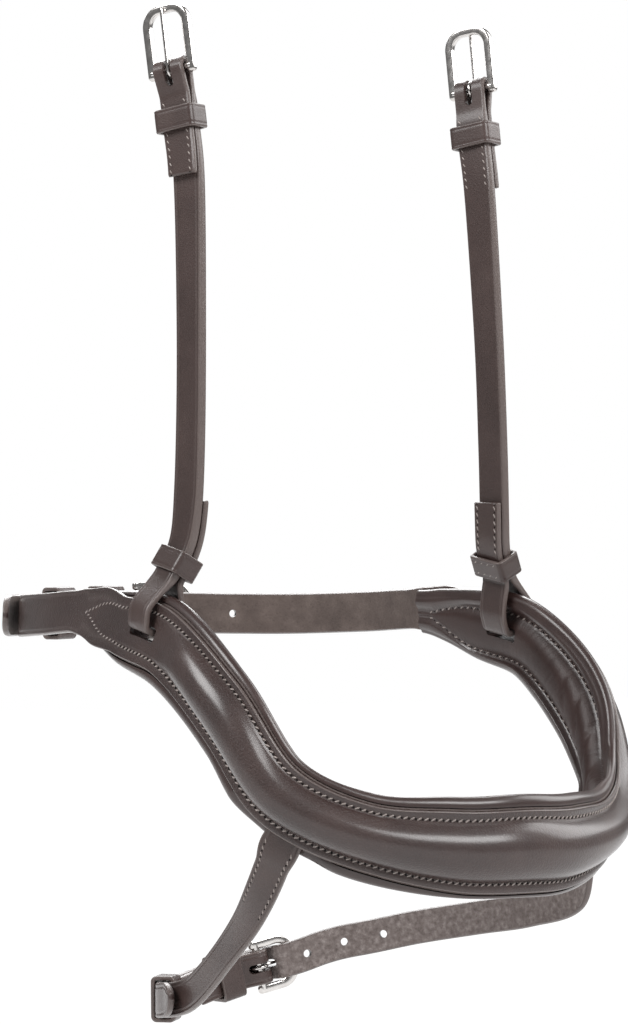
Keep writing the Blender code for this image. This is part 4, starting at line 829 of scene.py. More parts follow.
def makeOuterLeather():
    thick, padEnd = bandSizes["strapThickness"], bandSizes["padEnd"]
    level = sewnGap + thick / 2
    join = BuckledEnd(ring, rearSizes["buckle"], thick, level, buckleSizes["length"], rearSizes["tip"],
                      rearSizes["tipRise"])
    chape, chapeWidths, apexPoint = join.chapeRows(ring.length, rearSizes["turnBack"])
    billet, billetWidths = join.billetRows(0.0, rearSizes["tip"])
    path = LeatherPath(np.vstack([chape, billet]), np.vstack([chapeWidths, billetWidths]), "across",
                       blur=strapDetail["blur"])
    onRing = np.arange(-padEnd - 0.004, padEnd + 0.0041, 0.002)
    onPath = np.array([path.nearest(p) for p in ring.place(onRing, 0, level)])
    first, last = float(np.interp(-padEnd, onRing, onPath)), float(np.interp(padEnd, onRing, onPath))
    half = rearSizes["width"] / 2
    total = path.length

    def section(p):
        beyond = max(first - p, p - last)
        if beyond < 0:
            return faceSection(abs(float(np.interp(p, onPath, onRing))), level)
        flared = 1 - float(easeBetween(beyond, 0.0, rearSizes["flare"]))
        wide = half + (float(halfHeight(padEnd)) - half) * flared
        now = thick * roundedEnd(p)
        if p > total - strapDetail["tipLength"]:
            wide = min(wide, tipHalf(half, total - p))
            now = thick * tipThinned(total - p)
        creased = float(easeBetween(beyond, *rearSizes["creaseFade"]))
        return strapSection(wide, now, strapDetail["creaseDepth"] * creased)

    piece = loftAlong("outerLeather", tippedPlaces(total), section, leather, fleshLeather)
    slots = [float(np.interp(s, onRing, onPath)) for s in (-bandSizes["slotPlace"], bandSizes["slotPlace"])]
    hole, drawn = join.hole(path)
    cutters = slotCutters(slots) + [tongueCutter(path.nearest(apexPoint), strapDetail["tongueSlot"])]
    cutters += holeCutters(hole, drawn + strapDetail["drawn"], rearSizes)
    finishStrap(piece, cutters, path.place, "noseband", "face_leather")
    return join


def ovalClosing(d, start, end):
    # 1 where two rows run apart, down to 0 where they meet
    return np.sqrt(np.clip(1 - easeBetween(d, start, end) ** bandSizes["ovalPower"], 0.0, 1.0))


def bandStitchRows():
    # a closed row: along the upper edge, round the tip at each cheek, and back along the lower edge
    tip = bandSizes["ovalTip"]
    s = np.linspace(-tip, tip, rowPoints)
    d = np.abs(s)
    closing = ovalClosing(d, bandSizes["ovalFrom"], tip)
    level = sewnGap + faceThickness(d) - strapDetail["threadSink"]
    top = (leatherEdge(d, 1) - valueAlong(bandSizes["upperInset"], d)) * closing
    bottom = -(leatherEdge(d, -1) - valueAlong(bandSizes["lowerInset"], d)) * closing
    return [(ring.place(s, heights, level), ring.frames(s)[3]) for heights in (top, bottom)]


rearJoin = makeOuterLeather()
sewRows("bandStitches", bandStitchRows(), "noseband", bandStitch)
print("outer leather made")


def makeBaseBand():
    end, thick = bandSizes["baseEnd"], bandSizes["baseThickness"]

    def section(s):
        top, bottom = float(baseEdge(abs(s), 1)), -float(baseEdge(abs(s), -1))
        points, marks = strapSection((top - bottom) / 2, thick, 0.0)
        return [(t + (top + bottom) / 2, n - thick / 2) for t, n in points], marks

    piece = loftAlong("baseBand", endPlaces(-end, end, bandSizes["step"]), section, backingLeather)
    slots = slotCutters([-bandSizes["slotPlace"], bandSizes["slotPlace"]])
    finishStrap(piece, slots, ring.place, "noseband", "base_band")


makeBaseBand()

padSizes = {
    "tabRoom": 0.0025, "tabSlope": 0.0125, "shelf": 0.3, "closeFrom": 0.203, "closeTo": 0.2315,
    "upperGroove": [(0.0, 0.0066), (0.10, 0.0084), (0.15, 0.0090), (0.20, 0.0082), (0.235, 0.0060)],
    "lowerGroove": [(0.0, 0.0060), (0.10, 0.0062), (0.15, 0.0060), (0.20, 0.0046), (0.235, 0.0040)],
    "grooveRoom": 0.0016, "grooveHalf": 0.0006, "grooveDip": 0.0002, "tubeRise": 0.0013, "stationStep": 0.0006,
    "edgeRoom": 0.0004, "rollShare": 0.62, "softFrom": (0.0002, 0.0018), "endFade": 0.012,
    "pucker": 0.00014, "puckerPitch": 0.0034, "puckerReach": 0.0013, "ripple": 0.00004,
    "folds": [  # place along the ring, slant, half width and depth of each long fold
        (0.140, 0.9, 0.0018, 0.00030), (0.126, 1.2, 0.0020, 0.00050), (0.110, 1.4, 0.0020, 0.00045),
        (0.095, 1.2, 0.0018, 0.00030), (-0.138, -1.0, 0.0018, 0.00035), (-0.123, -1.3, 0.0020, 0.00050),
        (-0.107, -1.4, 0.0020, 0.00045)],
}
flashSizes = {"width": 0.013, "thickness": 0.0024, "tabTop": 0.0060, "tipPast": 0.090,
              "turnBack": 0.030, "fixedKeeper": 0.0143, "slidingKeeper": 0.052, "holePitch": 0.0158,
              "spareHoles": 3,
              "tipRise": [(0.030, 0.0), (0.012, 0.0010), (0.0, 0.0026)], "buckleNear": (0.011, 0.1665, -0.053),
              "rootHeights": [0.0100, 0.0140, 0.0180], "rightTurn": (0.012, 0.040), "leftTurn": (0.012, 0.080),
              "laid": (0.009, 0.019), "sewn": (0.0105, 0.040)}


def rollWide(d, side):
    room = halfHeight(d) - padSizes["edgeRoom"] - baseEdge(d, side)
    return np.minimum(padSizes["rollShare"] * room + bandSizes["rollLeast"], bandSizes["rollRadius"])


def liningGroove(d, side):
    # height of a stitch row of the lining; the two rows close to a point at each end
    closing = ovalClosing(d, padSizes["closeFrom"], padSizes["closeTo"])
    inset = valueAlong(padSizes["upperGroove" if side > 0 else "lowerGroove"], d)
    inset = np.maximum(inset, 1.3 * rollWide(d, side) + padSizes["grooveRoom"])
    return (halfHeight(d) - inset) * closing


seatPoints, rollPoints, tubePoints, crownPoints = 4, 13, 5, 9
leastRow = 0.0015  # a lining row's least height, where the two rows close


def padOutline(s):
    # the lining's section: flat against the base, a roll past each edge, a soft tube beside each
    # stitch row and a crown between the rows, towards the horse
    d = abs(s)
    seat = -(bandSizes["baseThickness"] + sewnGap)
    depth = float(valueAlong(bandSizes["padDepth"], d))
    away = abs(d - bandSizes["flashPlace"])
    edgeOfTab = 0.5 * flashSizes["width"] + padSizes["tabRoom"]
    tab = 1 - float(easeBetween(away, edgeOfTab, edgeOfTab + padSizes["tabSlope"]))
    sides = []
    for side in (1, -1):
        sunk = tab * (flashSizes["thickness"] + 2 * sewnGap) if side < 0 else 0.0
        edge = float(baseEdge(d, side))
        reach = float(halfHeight(d)) - padSizes["edgeRoom"]
        wall = edge + sewnGap
        wide = float(rollWide(d, side))
        rollTop = -0.0001 - 1.85 * sunk
        rollBottom = min(rollTop - 2 * wide * (1 - 0.3 * tab), seat - 1.5 * sunk - 0.0009)
        tall = (rollTop - rollBottom) / 2
        centreT = reach - wide
        centreN = (rollTop + rollBottom) / 2
        start = math.degrees(math.acos(min(max((wall - centreT) / wide, -0.95), 0.8)))
        points = [(share * wall, seat - sunk * float(easeBetween(share, 0.1, padSizes["shelf"])))
                  for share in (0.15, 0.5, 0.9)]
        points += [(wall, seat - sunk)]
        points += [(centreT + wide * math.cos(math.radians(a)), centreN + tall * math.sin(math.radians(a)))
                   for a in np.linspace(start, -95, rollPoints)]
        grooveT = max(float(liningGroove(d, side)), leastRow)
        grooveN = min(centreN - 0.3 * tall, seat - sunk - 0.0010)
        crownN = min(seat - depth, grooveN - 0.0004)
        endT, endN = points[-1]
        span = endT - grooveT - 0.0009
        rise = min(padSizes["tubeRise"], 0.22 * span) * (1 - 0.5 * tab)
        for k in range(1, tubePoints + 1):
            u = k / (tubePoints + 1)
            flat = float(easeBetween(u, 0.0, 1.15))
            bulge = rise * math.sin(math.pi * u) ** 0.8
            points.append((endT - span * u, endN + (grooveN - 0.0004 - endN) * flat - bulge))
        wideT, dipN = padSizes["grooveHalf"], grooveN - padSizes["grooveDip"]
        points += [(grooveT + wideT, dipN), (grooveT, grooveN), (grooveT - wideT, dipN)]
        for share in np.linspace(0.93, 0.06, crownPoints):
            lift = max(1 - share ** 2.6, 0.0) ** 0.8
            points.append((share * (grooveT - 0.0007), grooveN + (crownN - grooveN) * lift))
        sides.append([(side * t, n) for t, n in points])
    return sides[0] + sides[1][::-1]


def ripples(s, t):
    # the many fine creases that run across the lining between its rows
    slow = np.sin(210 * s + 260 * t + 0.7) + 0.6 * np.sin(-340 * s + 190 * t + 2.1)
    return (np.sin(2300 * s + 320 * t + 1.6 * slow) * (0.55 + 0.45 * np.sin(500 * s - 300 * t + slow))
            + 0.6 * np.sin(1500 * s - 260 * t + 2.2 * slow + 1.0))


def makeLiningPad():
    end = bandSizes["padEnd"]
    stations = endPlaces(-end, end, padSizes["stationStep"])
    rings = np.array([padOutline(s) for s in stations])
    firstSoft = seatPoints + rollPoints
    soft = np.zeros(rings.shape[1])
    soft[firstSoft:len(soft) - firstSoft] = 1.0
    t = rings[:, :, 0]
    s = stations[:, None] + 0 * t
    d = np.abs(s)
    upper = np.maximum(liningGroove(np.abs(stations), 1), leastRow)[:, None]
    lower = np.maximum(liningGroove(np.abs(stations), -1), leastRow)[:, None]
    between = easeBetween(np.minimum(upper - t, t + lower), *padSizes["softFrom"])
    fromRow = np.minimum(np.abs(t - upper), np.abs(t + lower))
    fade = 1 - easeBetween(d, end - padSizes["endFade"], end)
    pulled = np.exp(-fromRow / padSizes["puckerReach"]) * fade
    wave = np.sin(s * 2 * math.pi / padSizes["puckerPitch"] + 0.8 * np.sin(330 * s + 400 * t))
    shift = padSizes["pucker"] * (0.6 + 0.4 * wave) * pulled
    shift += padSizes["ripple"] * (ripples(s, t) - 0.5) * between * fade * easeBetween(-d, -0.20, -0.17)
    for place, slant, wide, deep in padSizes["folds"]:
        line = place + slant * t + 0.0006 * np.sin(180 * t + 900 * place)
        shift += deep * np.exp(-((s - line) / wide) ** 2) * between
        shift -= 0.35 * deep * np.exp(-((s - line - 3.2 * wide) / (2.4 * wide)) ** 2) * between
    rings[:, :, 1] += shift * soft
    mesh = loftMesh("liningPad", stations, rings, np.zeros(rings.shape[:2]))
    for label, values in (("along", s), ("pucker", pulled * soft), ("gloss", 1 - 0.92 * between)):
        addLayer(mesh, label, values)
    piece = addObject("liningPad", mesh, liningLeather)
    slots = slotCutters([-bandSizes["slotPlace"], bandSizes["slotPlace"]])
    finishStrap(piece, slots, ring.place, "noseband", "lining_pad", 60)


makeLiningPad()
print("lining made")


def liningStitchRows():
    s = np.linspace(-padSizes["closeTo"], padSizes["closeTo"], rowPoints)
    outlines = np.array([padOutline(place) for place in s])
    groove = seatPoints + rollPoints + tubePoints + 1
    rows = []
    for side, column in ((1, groove), (-1, outlines.shape[1] - 1 - groove)):
        heights = side * liningGroove(np.abs(s), side)
        rows.append((ring.place(s, heights, outlines[:, column, 1] - 0.00005), -ring.frames(s)[3]))
    return rows


sewRows("liningStitches", liningStitchRows(), "noseband", dict(strapStitch, pitch=0.0034))


def sweptTube(bm, line, halfWide, halfTall, sides, up, squareness):
    # a rounded bar swept along a line; its half sizes may change along it
    ahead = unitRows(np.gradient(line, axis=0))
    halfWide, halfTall = (np.broadcast_to(size, len(line)) for size in (halfWide, halfTall))
    angles = 2 * np.pi * np.arange(sides) / sides
    across, over = (np.copysign(np.abs(turn) ** (2 / squareness), turn)
                    for turn in (np.cos(angles), np.sin(angles)))
    rows = []
    for k, point in enumerate(line):
        side = unitRows(np.cross(np.array(up, dtype=float), ahead[k]))
        above = np.cross(ahead[k], side)
        rows.append([bm.verts.new(point + side * halfWide[k] * x + above * halfTall[k] * y)
                     for x, y in zip(across, over)])
    for a, b in zip(rows[:-1], rows[1:]):
        for q in range(sides):
            bm.faces.new((a[q], a[(q + 1) % sides], b[(q + 1) % sides], b[q]))
    bm.faces.new(rows[0][::-1])
    bm.faces.new(rows[-1])


def withCloseEnds(line, both):
    # a line with closer points where its ends are rounded, and the distance of each point along it
    line, extra = np.array(line, dtype=float), buckleSizes["endSteps"]
    reach = distances(line)
    dense = sorted(set(list(reach) + extra + ([reach[-1] - e for e in extra] if both else [])))
    return np.stack([np.interp(dense, reach, line[:, k]) for k in range(3)], axis=1), np.array(dense)


def finishPart(name, bm, matrix, skin, body, node, angle=40):
    mesh = meshFrom(bm, bpy.data.meshes.new(name))
    mesh.transform(Matrix(np.asarray(matrix).tolist()))
    mesh.shade_smooth()
    mesh.set_sharp_from_angle(angle=math.radians(angle))
    dress(addObject(name, mesh, skin), body, node)


def roundedBy(share, least):
    # 0 to 1 of a rounded end, as a share of the full thickness
    return np.sqrt(np.clip(1 - (1 - np.clip(share, 0, 1)) ** 2, least, 1))


def makeBuckle(name, innerWidth, length, matrix, body, node):
    # polished frame: one rounded bar bent to a U, with round heels and a bar through them
    rim, thick = buckleSizes["rimWidth"], buckleSizes["rimThickness"]
    half = innerWidth / 2 + rim / 2
    corner = min(buckleSizes["corner"], 0.9 * (innerWidth / 2 + rim)) - rim / 2
    heel, top = -buckleSizes["heel"], length - rim / 2
    line = [(x, -half) for x in np.linspace(heel, top - corner, 14)][:-1]
    line += arcPoints(top - corner, corner - half, corner, np.linspace(270, 360, 13))
    line += arcPoints(top - corner, half - corner, corner, np.linspace(0, 90, 13))
    line += [(x, half) for x in np.linspace(top - corner, heel, 14)][1:]
    line, dense = withCloseEnds([(x, y, 0.0) for x, y in line], True)
    shrink = roundedBy(np.minimum(dense, dense[-1] - dense) / buckleSizes["heelRound"], 0.02)
    bm = bmesh.new()
    sweptTube(bm, line, rim / 2 * shrink, thick / 2 * shrink, 28, (0, 0, 1), buckleSizes["squareness"])
    bar = np.array([(0.0, y, 0.0) for y in np.linspace(-half, half, 6)])
    sweptTube(bm, bar, buckleSizes["bar"], buckleSizes["bar"], 20, (0, 0, 1), 2.0)
    finishPart(name, bm, matrix, steel, body, node)


def makeTongue(name, length, matrix, body, node):
    # prong with an eye rolled round the bar, tapering to a rounded point on the rim
    bar, thick, wide = buckleSizes["bar"], buckleSizes["tongueThickness"], buckleSizes["tongueWidth"]
    eye = bar + sewnGap + thick / 2
    level = buckleSizes["rimThickness"] / 2 + sewnGap + thick / 2
    end, foot = length - 0.35 * buckleSizes["rimWidth"], buckleSizes["tongueFoot"]
    start = math.degrees(math.asin(min(level / eye, 0.98)))
    line = [(x, level) for x in np.linspace(end, foot, 22)]
    line += arcPoints(0.0, 0.0, eye, np.linspace(112, 360 + start - 12, 26))
    line, dense = withCloseEnds([(x, 0.0, z) for x, z in line], False)
    tip = roundedBy(dense / buckleSizes["tongueRound"], 0.03)
    taper = 0.80 + 0.20 * np.clip(dense / (end - foot), 0, 1)
    bm = bmesh.new()
    sweptTube(bm, line, wide / 2 * tip * taper, thick / 2 * tip, 20, (0, 1, 0), buckleSizes["tongueSquareness"])
    finishPart(name, bm, matrix, steel, body, node)


keeperSizes = {"wall": 0.0016, "length": 0.010, "hangerLength": 0.0085, "inner": 0.0006, "bevel": 0.0005,
               "crease": 0.0001, "creaseFrom": (0.0009, 0.0012, 0.0015), "flatFrom": 0.0024, "step": 0.0012}


def makeKeeper(name, width, height, length, matrix, body, node):
    # closed leather loop with rounded edges and a creased line near each
    wall, bevel = keeperSizes["wall"], keeperSizes["bevel"]
    halfY = width / 2 + looseGap + wall / 2
    halfZ = height / 2 + looseGap + wall / 2
    corner = keeperSizes["inner"] + wall / 2
    outline = []
    for q, (signY, signZ) in enumerate(((1, 1), (-1, 1), (-1, -1), (1, -1))):
        outline += arcPoints(signY * (halfY - corner), signZ * (halfZ - corner), corner,
                             np.linspace(90 * q, 90 * q + 90, 8))
    line = []
    for a, b in zip(outline, outline[1:] + outline[:1]):
        line.append(a)
        gap = math.dist(a, b)
        if gap > 0.002:
            steps = int(gap / keeperSizes["step"])
            shares = [k / steps for k in range(1, steps)]
            line += [(a[0] + (b[0] - a[0]) * u, a[1] + (b[1] - a[1]) * u) for u in shares]
    if math.dist(line[0], line[-1]) < 1e-6:
        line.pop()
    line = np.array(line)
    ahead = unitRows(np.roll(line, -1, axis=0) - np.roll(line, 1, axis=0))
    out = np.stack([ahead[:, 1], -ahead[:, 0]], axis=1)
    half, skin = length / 2, wall / 2
    before, deepest, after = keeperSizes["creaseFrom"]
    section = [(bevel - half, skin), (before - half, skin), (deepest - half, skin - keeperSizes["crease"]),
               (after - half, skin), (keeperSizes["flatFrom"] - half, skin), (0.0, skin)]
    section += [(-x, z) for x, z in section[-2::-1]]
    section += arcPoints(half - bevel, skin - bevel, bevel, (60, 30, 0))
    section += arcPoints(half - bevel, bevel - skin, bevel, (0, -45, -90))
    section += [(0.0, -skin)]
    section += arcPoints(bevel - half, bevel - skin, bevel, (-90, -135, 180))
    section += arcPoints(bevel - half, skin - bevel, bevel, (180, 150, 120))
    verts = [(x, y + o[0] * n, z + o[1] * n) for (y, z), o in zip(line, out) for x, n in section]
    mesh = bpy.data.meshes.new(name)
    mesh.from_pydata(verts, [], gridFaces(len(line), len(section), closed=True))
    # the keeper's edges take the pale painted highlight
    addLayer(mesh, "edge", [0.85 if abs(x) > half - 0.6 * bevel else 0.0 for x, y, z in verts])
    bm = bmesh.new()
    bm.from_mesh(mesh)
    bmesh.ops.remove_doubles(bm, verts=bm.verts, dist=1e-6)
    finishPart(name, bm, matrix, strapLeather, body, node)


def dressFastening(prefix, join, sizes, looseBody):
    # the buckle's own axis runs towards its free end, against the strap's
    matrix = join.base.matrix(join.barPlace, 0, join.barLevel) @ np.diag([-1.0, -1.0, 1.0, 1.0])
    makeBuckle(prefix + "Buckle", sizes["width"] + 2 * looseGap, join.length, matrix, "noseband",
               prefix + "_buckle")
    makeTongue(prefix + "Tongue", join.length, matrix, prefix + "_tongue", prefix + "_tongue")
    top = join.over + join.thickness / 2
    for label, past, level, body in (("Fixed", sizes["fixedKeeper"], join.backLevel, "noseband"),
                                     ("Sliding", sizes["slidingKeeper"], join.level, looseBody)):
        low = level - join.thickness / 2
        makeKeeper(prefix + label + "Keeper", sizes["width"], top - low, keeperSizes["length"],
                   join.base.matrix(join.barPlace + past, 0, (top + low) / 2), body,
                   prefix + "_" + label.lower() + "_keeper")


dressFastening("rear", rearJoin, rearSizes, "rear_loose_keeper")
print("rear buckle dressed")


flashPoints = [  # the flash strap, from the right flank round the chin to the left flank
    (0.0775, 0.054, -0.0222),
    (0.0760, 0.0805, -0.0297),
    (0.070, 0.1035, -0.0335),
    (0.060, 0.128, -0.038),
    (0.049, 0.1425, -0.042),
    (0.038, 0.1525, -0.045),
    (0.025, 0.161, -0.0495),
    (0.0, 0.168, -0.056),
    (-0.022, 0.165, -0.0610),
    (-0.044, 0.149, -0.0625),
    (-0.054, 0.121, -0.0585),
    (-0.059, 0.1035, -0.0515),
    (-0.064, 0.0835, -0.040),
    (-0.068, 0.0655, -0.028),
    (-0.071, 0.052, -0.016),
]


def flashPath():
    rootLevel = -(bandSizes["baseThickness"] + sewnGap + flashSizes["thickness"] / 2)
    heights = np.array([flashSizes["tabTop"]] + flashSizes["rootHeights"])
    place = bandSizes["flashPlace"]
    right = ring.place(np.full(4, place), -heights, rootLevel)
    left = ring.place(np.full(4, -place), -heights[::-1], rootLevel)
    dense = smoothSpline(np.vstack([right, np.array(flashPoints), left]), False)
    ahead = np.gradient(dense, axis=0)
    level = unitRows(np.stack([ahead[:, 1], -ahead[:, 0], 0 * ahead[:, 0]], axis=1))
    steps = distances(dense)
    rightShare = (1 - easeBetween(steps, *flashSizes["rightTurn"]))[:, None]
    leftShare = (1 - easeBetween(steps[-1] - steps, *flashSizes["leftTurn"]))[:, None]
    hints = level * (1 - rightShare) * (1 - leftShare)
    hints = hints + ring.frames(place)[3] * rightShare + ring.frames(-place)[3] * leftShare
    return LeatherPath(dense, hints, "face", blur=0.004), rootLevel


def makeFlash():
    base, rootLevel = flashPath()
    barPlace = base.nearest(flashSizes["buckleNear"])
    tipPlace = barPlace + flashSizes["tipPast"]
    thick, half = flashSizes["thickness"], flashSizes["width"] / 2
    join = BuckledEnd(base, barPlace, thick, 0.0, buckleSizes["flashLength"], tipPlace, flashSizes["tipRise"])
    reach = np.linspace(*flashSizes["sewn"], 60)
    rows = []

    def rooted(path, fromRoot, side):
        # laid against the base band near the root, free beyond it
        def place(p, t, n):
            far = fromRoot(p)
            share = (1 - easeBetween(far, *flashSizes["laid"]))[:, None]
            laid = ring.place(side * (bandSizes["flashPlace"] + t), -(flashSizes["tabTop"] + far), rootLevel + n)
            return laid * share + path.place(p, t, n) * (1 - share)

        for t in (strapDetail["rowInset"] - half, half - strapDetail["rowInset"]):
            p = fromRoot(reach)
            height = np.full(60, thick / 2 - strapDetail["threadSink"])
            rows.append((place(p, np.full(60, t), height), path.frames(p)[3]))
        return place

    # chape, from its turned-back end to the left root
    points, widths, apexPoint = join.chapeRows(base.length, flashSizes["turnBack"])
    path = LeatherPath(points, widths, "across", blur=strapDetail["blur"])
    total = path.length
    piece = loftAlong("flashChapeStrap", endPlaces(0.0, total, strapDetail["step"]),
                      lambda p: strapSection(half, thick * roundedEnd(p) * roundedEnd(total - p)), strapLeather)
    finishStrap(piece, [tongueCutter(path.nearest(apexPoint), strapDetail["tongueSlot"])],
                rooted(path, lambda p: total - p, -1), "noseband", "flash_chape_strap")

    # billet, from the right root over the bar to its tip
    points, widths = join.billetRows(0.0, tipPlace)
    billet = LeatherPath(points, widths, "across", blur=strapDetail["blur"])
    whole = billet.length
    # its flesh side takes the lighter copy of the flesh side, which is painted light
    piece = loftAlong("flashBilletStrap", tippedPlaces(whole), lambda p: strapSection(
        tipHalf(half, whole - p), thick * roundedEnd(p) * tipThinned(whole - p)), strapLeather, flashFleshPaintedLightLeather)
    hole, drawn = join.hole(billet)
    finishStrap(piece, holeCutters(hole, drawn, flashSizes), rooted(billet, lambda p: p, 1), "noseband",
                "flash_billet_strap")
    sewRows("flashStitches", rows, "noseband", strapStitch)
    dressFastening("flash", join, flashSizes, "flash_loose_keeper")


makeFlash()
print("flash strap made")

hangerPoints = [  # the right hanger strap's middle above its loop: x, y, z and turn of its face in degrees
    (0.0790, 0.1002, 0.0965, 0),
    (0.0740, 0.0980, 0.1060, 4),
    (0.0720, 0.0964, 0.118, 6),
    (0.0708, 0.0959, 0.144, 6),
    (0.0696, 0.0969, 0.186, 6),
    (0.0680, 0.1003, 0.240, 12),
    (0.0680, 0.1040, 0.262, 18),
    (0.0684, 0.1076, 0.2825, 20),
]
hangerSizes = {"width": 0.013, "thickness": 0.0038, "skived": 0.0024, "topBack": 0.040, "footBack": 0.030,
               "tongueSlot": 0.022, "topKeeperBelow": 0.0185, "footKeeperUp": 0.0065, "loopClearance": 0.0013,
               "loopRound": 0.0008, "turnHeight": 0.030, "skive": 0.012, "step": 0.0013, "blur": 0.0014,
               "rowStart": 0.0125, "rowEnd": 0.0022, "threadSink": 0.0001, "seamInset": 0.0016,
               "seamApart": 0.0021}


def makeHanger(label, sign):
    slotFrames = ring.frames(sign * bandSizes["slotPlace"])
    slotPoint, slotAhead, slotAcross, slotFace = (row[0] for row in slotFrames)
    dense = smoothSpline([(sign * x, y, z, turn) for x, y, z, turn in hangerPoints], False)
    turn = np.radians(dense[:, 3])
    hints = np.stack([sign * np.cos(turn), sign * np.sin(turn), 0 * turn], axis=1)
    share = np.clip((dense[:, 2] - dense[0, 2]) / hangerSizes["turnHeight"], 0, 1)[:, None]
    hints = unitRows(slotFace[None, :] * (1 - share) + hints * share)
    spine = LeatherPath(dense[:, :3], hints, "face", blur=0.004)
    thick, thin = hangerSizes["thickness"], hangerSizes["skived"]
    back = (thick + thin) / 2 + layerGap
    points = []
    widths = []

    def follow(heights, level):
        points.append(spine.place(heights, 0, level))
        widths.append(spine.frames(heights)[2])

    follow(np.arange(hangerSizes["footBack"], 0.0, -0.001), -back)

    # loop through the slot, drawn in the ring's outward, across and along directions
    padded = float(valueAlong(bandSizes["padDepth"], bandSizes["slotPlace"]))
    innerN = -(bandSizes["baseThickness"] + sewnGap + padded) - hangerSizes["loopClearance"] - thin / 2
    outerN = sewnGap + float(faceThickness(bandSizes["slotPlace"])) + hangerSizes["loopClearance"] + thin / 2
    crossing = bandSizes["slotRaise"] + 0.1 * bandSizes["slotHeight"]
    radius = thin / 2 + hangerSizes["loopRound"]
    axes = np.stack([slotFace, slotAcross, slotAhead])
    start, end = (axes @ (spine.at(0.0, 0, level) - slotPoint) for level in (-back, 0))
    shape = [start, (innerN - 0.0004, start[1] * 0.42 + crossing * 0.58, start[2] * 0.3)]
    for n, angles in ((innerN + radius, (180, 225, 270)), (outerN - radius, (270, 315, 360))):
        shape += [(x, y, 0.0) for x, y in arcPoints(n, crossing + radius, radius, angles)]
    shape += [(outerN + 0.0004, end[1] * 0.42 + crossing * 0.58, end[2] * 0.3), end]
    loop = smoothSpline(shape, False, 12)[1:-1]
    points.append(slotPoint + loop @ axes)
    reach = easeBetween(loop[:, 1], crossing + radius, end[1])[:, None]
    widths.append(-slotAhead * (1 - reach) + spine.frames(0.0)[2] * reach)

    # up the spine, round the buckle's bar and back down
    fold = buckleSizes["bar"] + sewnGap + thin / 2
    top = spine.length - 0.0004
    follow(np.arange(0.0, top - 0.004, 0.001), 0)
    point, ahead, across, face = (row[0] for row in spine.frames(top))
    centre = point + face * fold
    angles = np.radians(np.linspace(180, -20, 22))[:, None]
    points.append(centre + (face * np.cos(angles) + ahead * np.sin(angles)) * fold)
    widths.append(np.repeat(across[None, :], len(angles), axis=0))
    follow(np.arange(top - 0.0095, top - hangerSizes["topBack"], -0.001), back)
    path = LeatherPath(np.vstack(points), np.vstack(widths), "across", blur=hangerSizes["blur"])
    joined = path.nearest(spine.at(0.004))
    beforeFold = path.nearest(spine.at(top - 0.011))
    total = path.length
    half = hangerSizes["width"] / 2

    def section(p):
        full = float(easeBetween(p, joined - hangerSizes["skive"], joined)
                     * (1 - easeBetween(p, beforeFold - 0.003, beforeFold + 0.003)))
        return strapSection(half, (thin + (thick - thin) * full) * roundedEnd(p) * roundedEnd(total - p))

    body, node = label + "_hanger", label + "_hanger_"
    piece = loftAlong(label + "HangerStrap", endPlaces(0.0, total, hangerSizes["step"]), section, strapLeather)
    finishStrap(piece, [tongueCutter(path.nearest(centre + ahead * fold), hangerSizes["tongueSlot"])], path.place,
                body, node + "strap")

    # rows of stitches on both sides of the top end and inside the foot, and a seam in the loose keeper
    sink = hangerSizes["threadSink"]

    def sewn(heights, t, level, outward):
        t, level = (np.broadcast_to(value, heights.shape) for value in (t, level))
        return spine.place(heights, t, level), outward * spine.frames(heights)[3]

    rows = []
    upper = np.linspace(top - hangerSizes["rowStart"], top - hangerSizes["topBack"] + hangerSizes["rowEnd"], 50)
    lower = np.linspace(hangerSizes["rowStart"], hangerSizes["footBack"] - hangerSizes["rowEnd"], 30)
    for t in (strapDetail["rowInset"] - half, half - strapDetail["rowInset"]):
        rows += [sewn(upper, t, back + thin / 2 - sink, 1), sewn(upper, t, sink - thick / 2, -1),
                 sewn(lower, t, sink - back - thin / 2, -1)]
    sewRows(label + "HangerStitches", rows, body, strapStitch)
    inside = sink - back - thin / 2 - looseGap - keeperSizes["wall"]
    t = np.linspace(hangerSizes["seamInset"] - half, half - hangerSizes["seamInset"], 20)
    seam = [sewn(np.full(20, hangerSizes["footKeeperUp"] + step), t, inside, -1)
            for step in (-hangerSizes["seamApart"], hangerSizes["seamApart"])]
    sewRows(label + "FootKeeperStitches", seam, node + "loose_keeper", strapStitch)

    matrix = frameMatrix(centre, ahead, face)
    makeBuckle(label + "HangerBuckle", hangerSizes["width"] + 2 * looseGap, buckleSizes["length"], matrix,
               node + "frame", node + "buckle")
    makeTongue(label + "HangerTongue", buckleSizes["length"], matrix, node + "tongue", node + "tongue")
    for part, place, level, rider, kept in (
            ("Top", top - hangerSizes["topKeeperBelow"], back + thin / 2 - thick / 2, body, "top_keeper"),
            ("Foot", hangerSizes["footKeeperUp"], thick / 2 - thin / 2 - back, node + "loose_keeper",
             "foot_keeper")):
        makeKeeper(label + "Hanger" + part + "Keeper", hangerSizes["width"], thick + thin + layerGap,
                   keeperSizes["hangerLength"], spine.matrix(place, 0, level / 2), rider, node + kept)


for label, sign in (("left", -1), ("right", 1)):
    makeHanger(label, sign)
print("hanger straps made")

# the core stays as packed, in felt
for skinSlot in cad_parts["raised_core"].material_slots:
    skinSlot.material = felt


floorSizes = {"level": -0.16, "reach": 6.0, "shadowShare": 0.50, "shadowReach": (0.50, 1.0), "mirrored": 0.10,
              "base": 0.72, "glow": 1.06}
white = (1.0, 1.0, 1.0, 1.0)


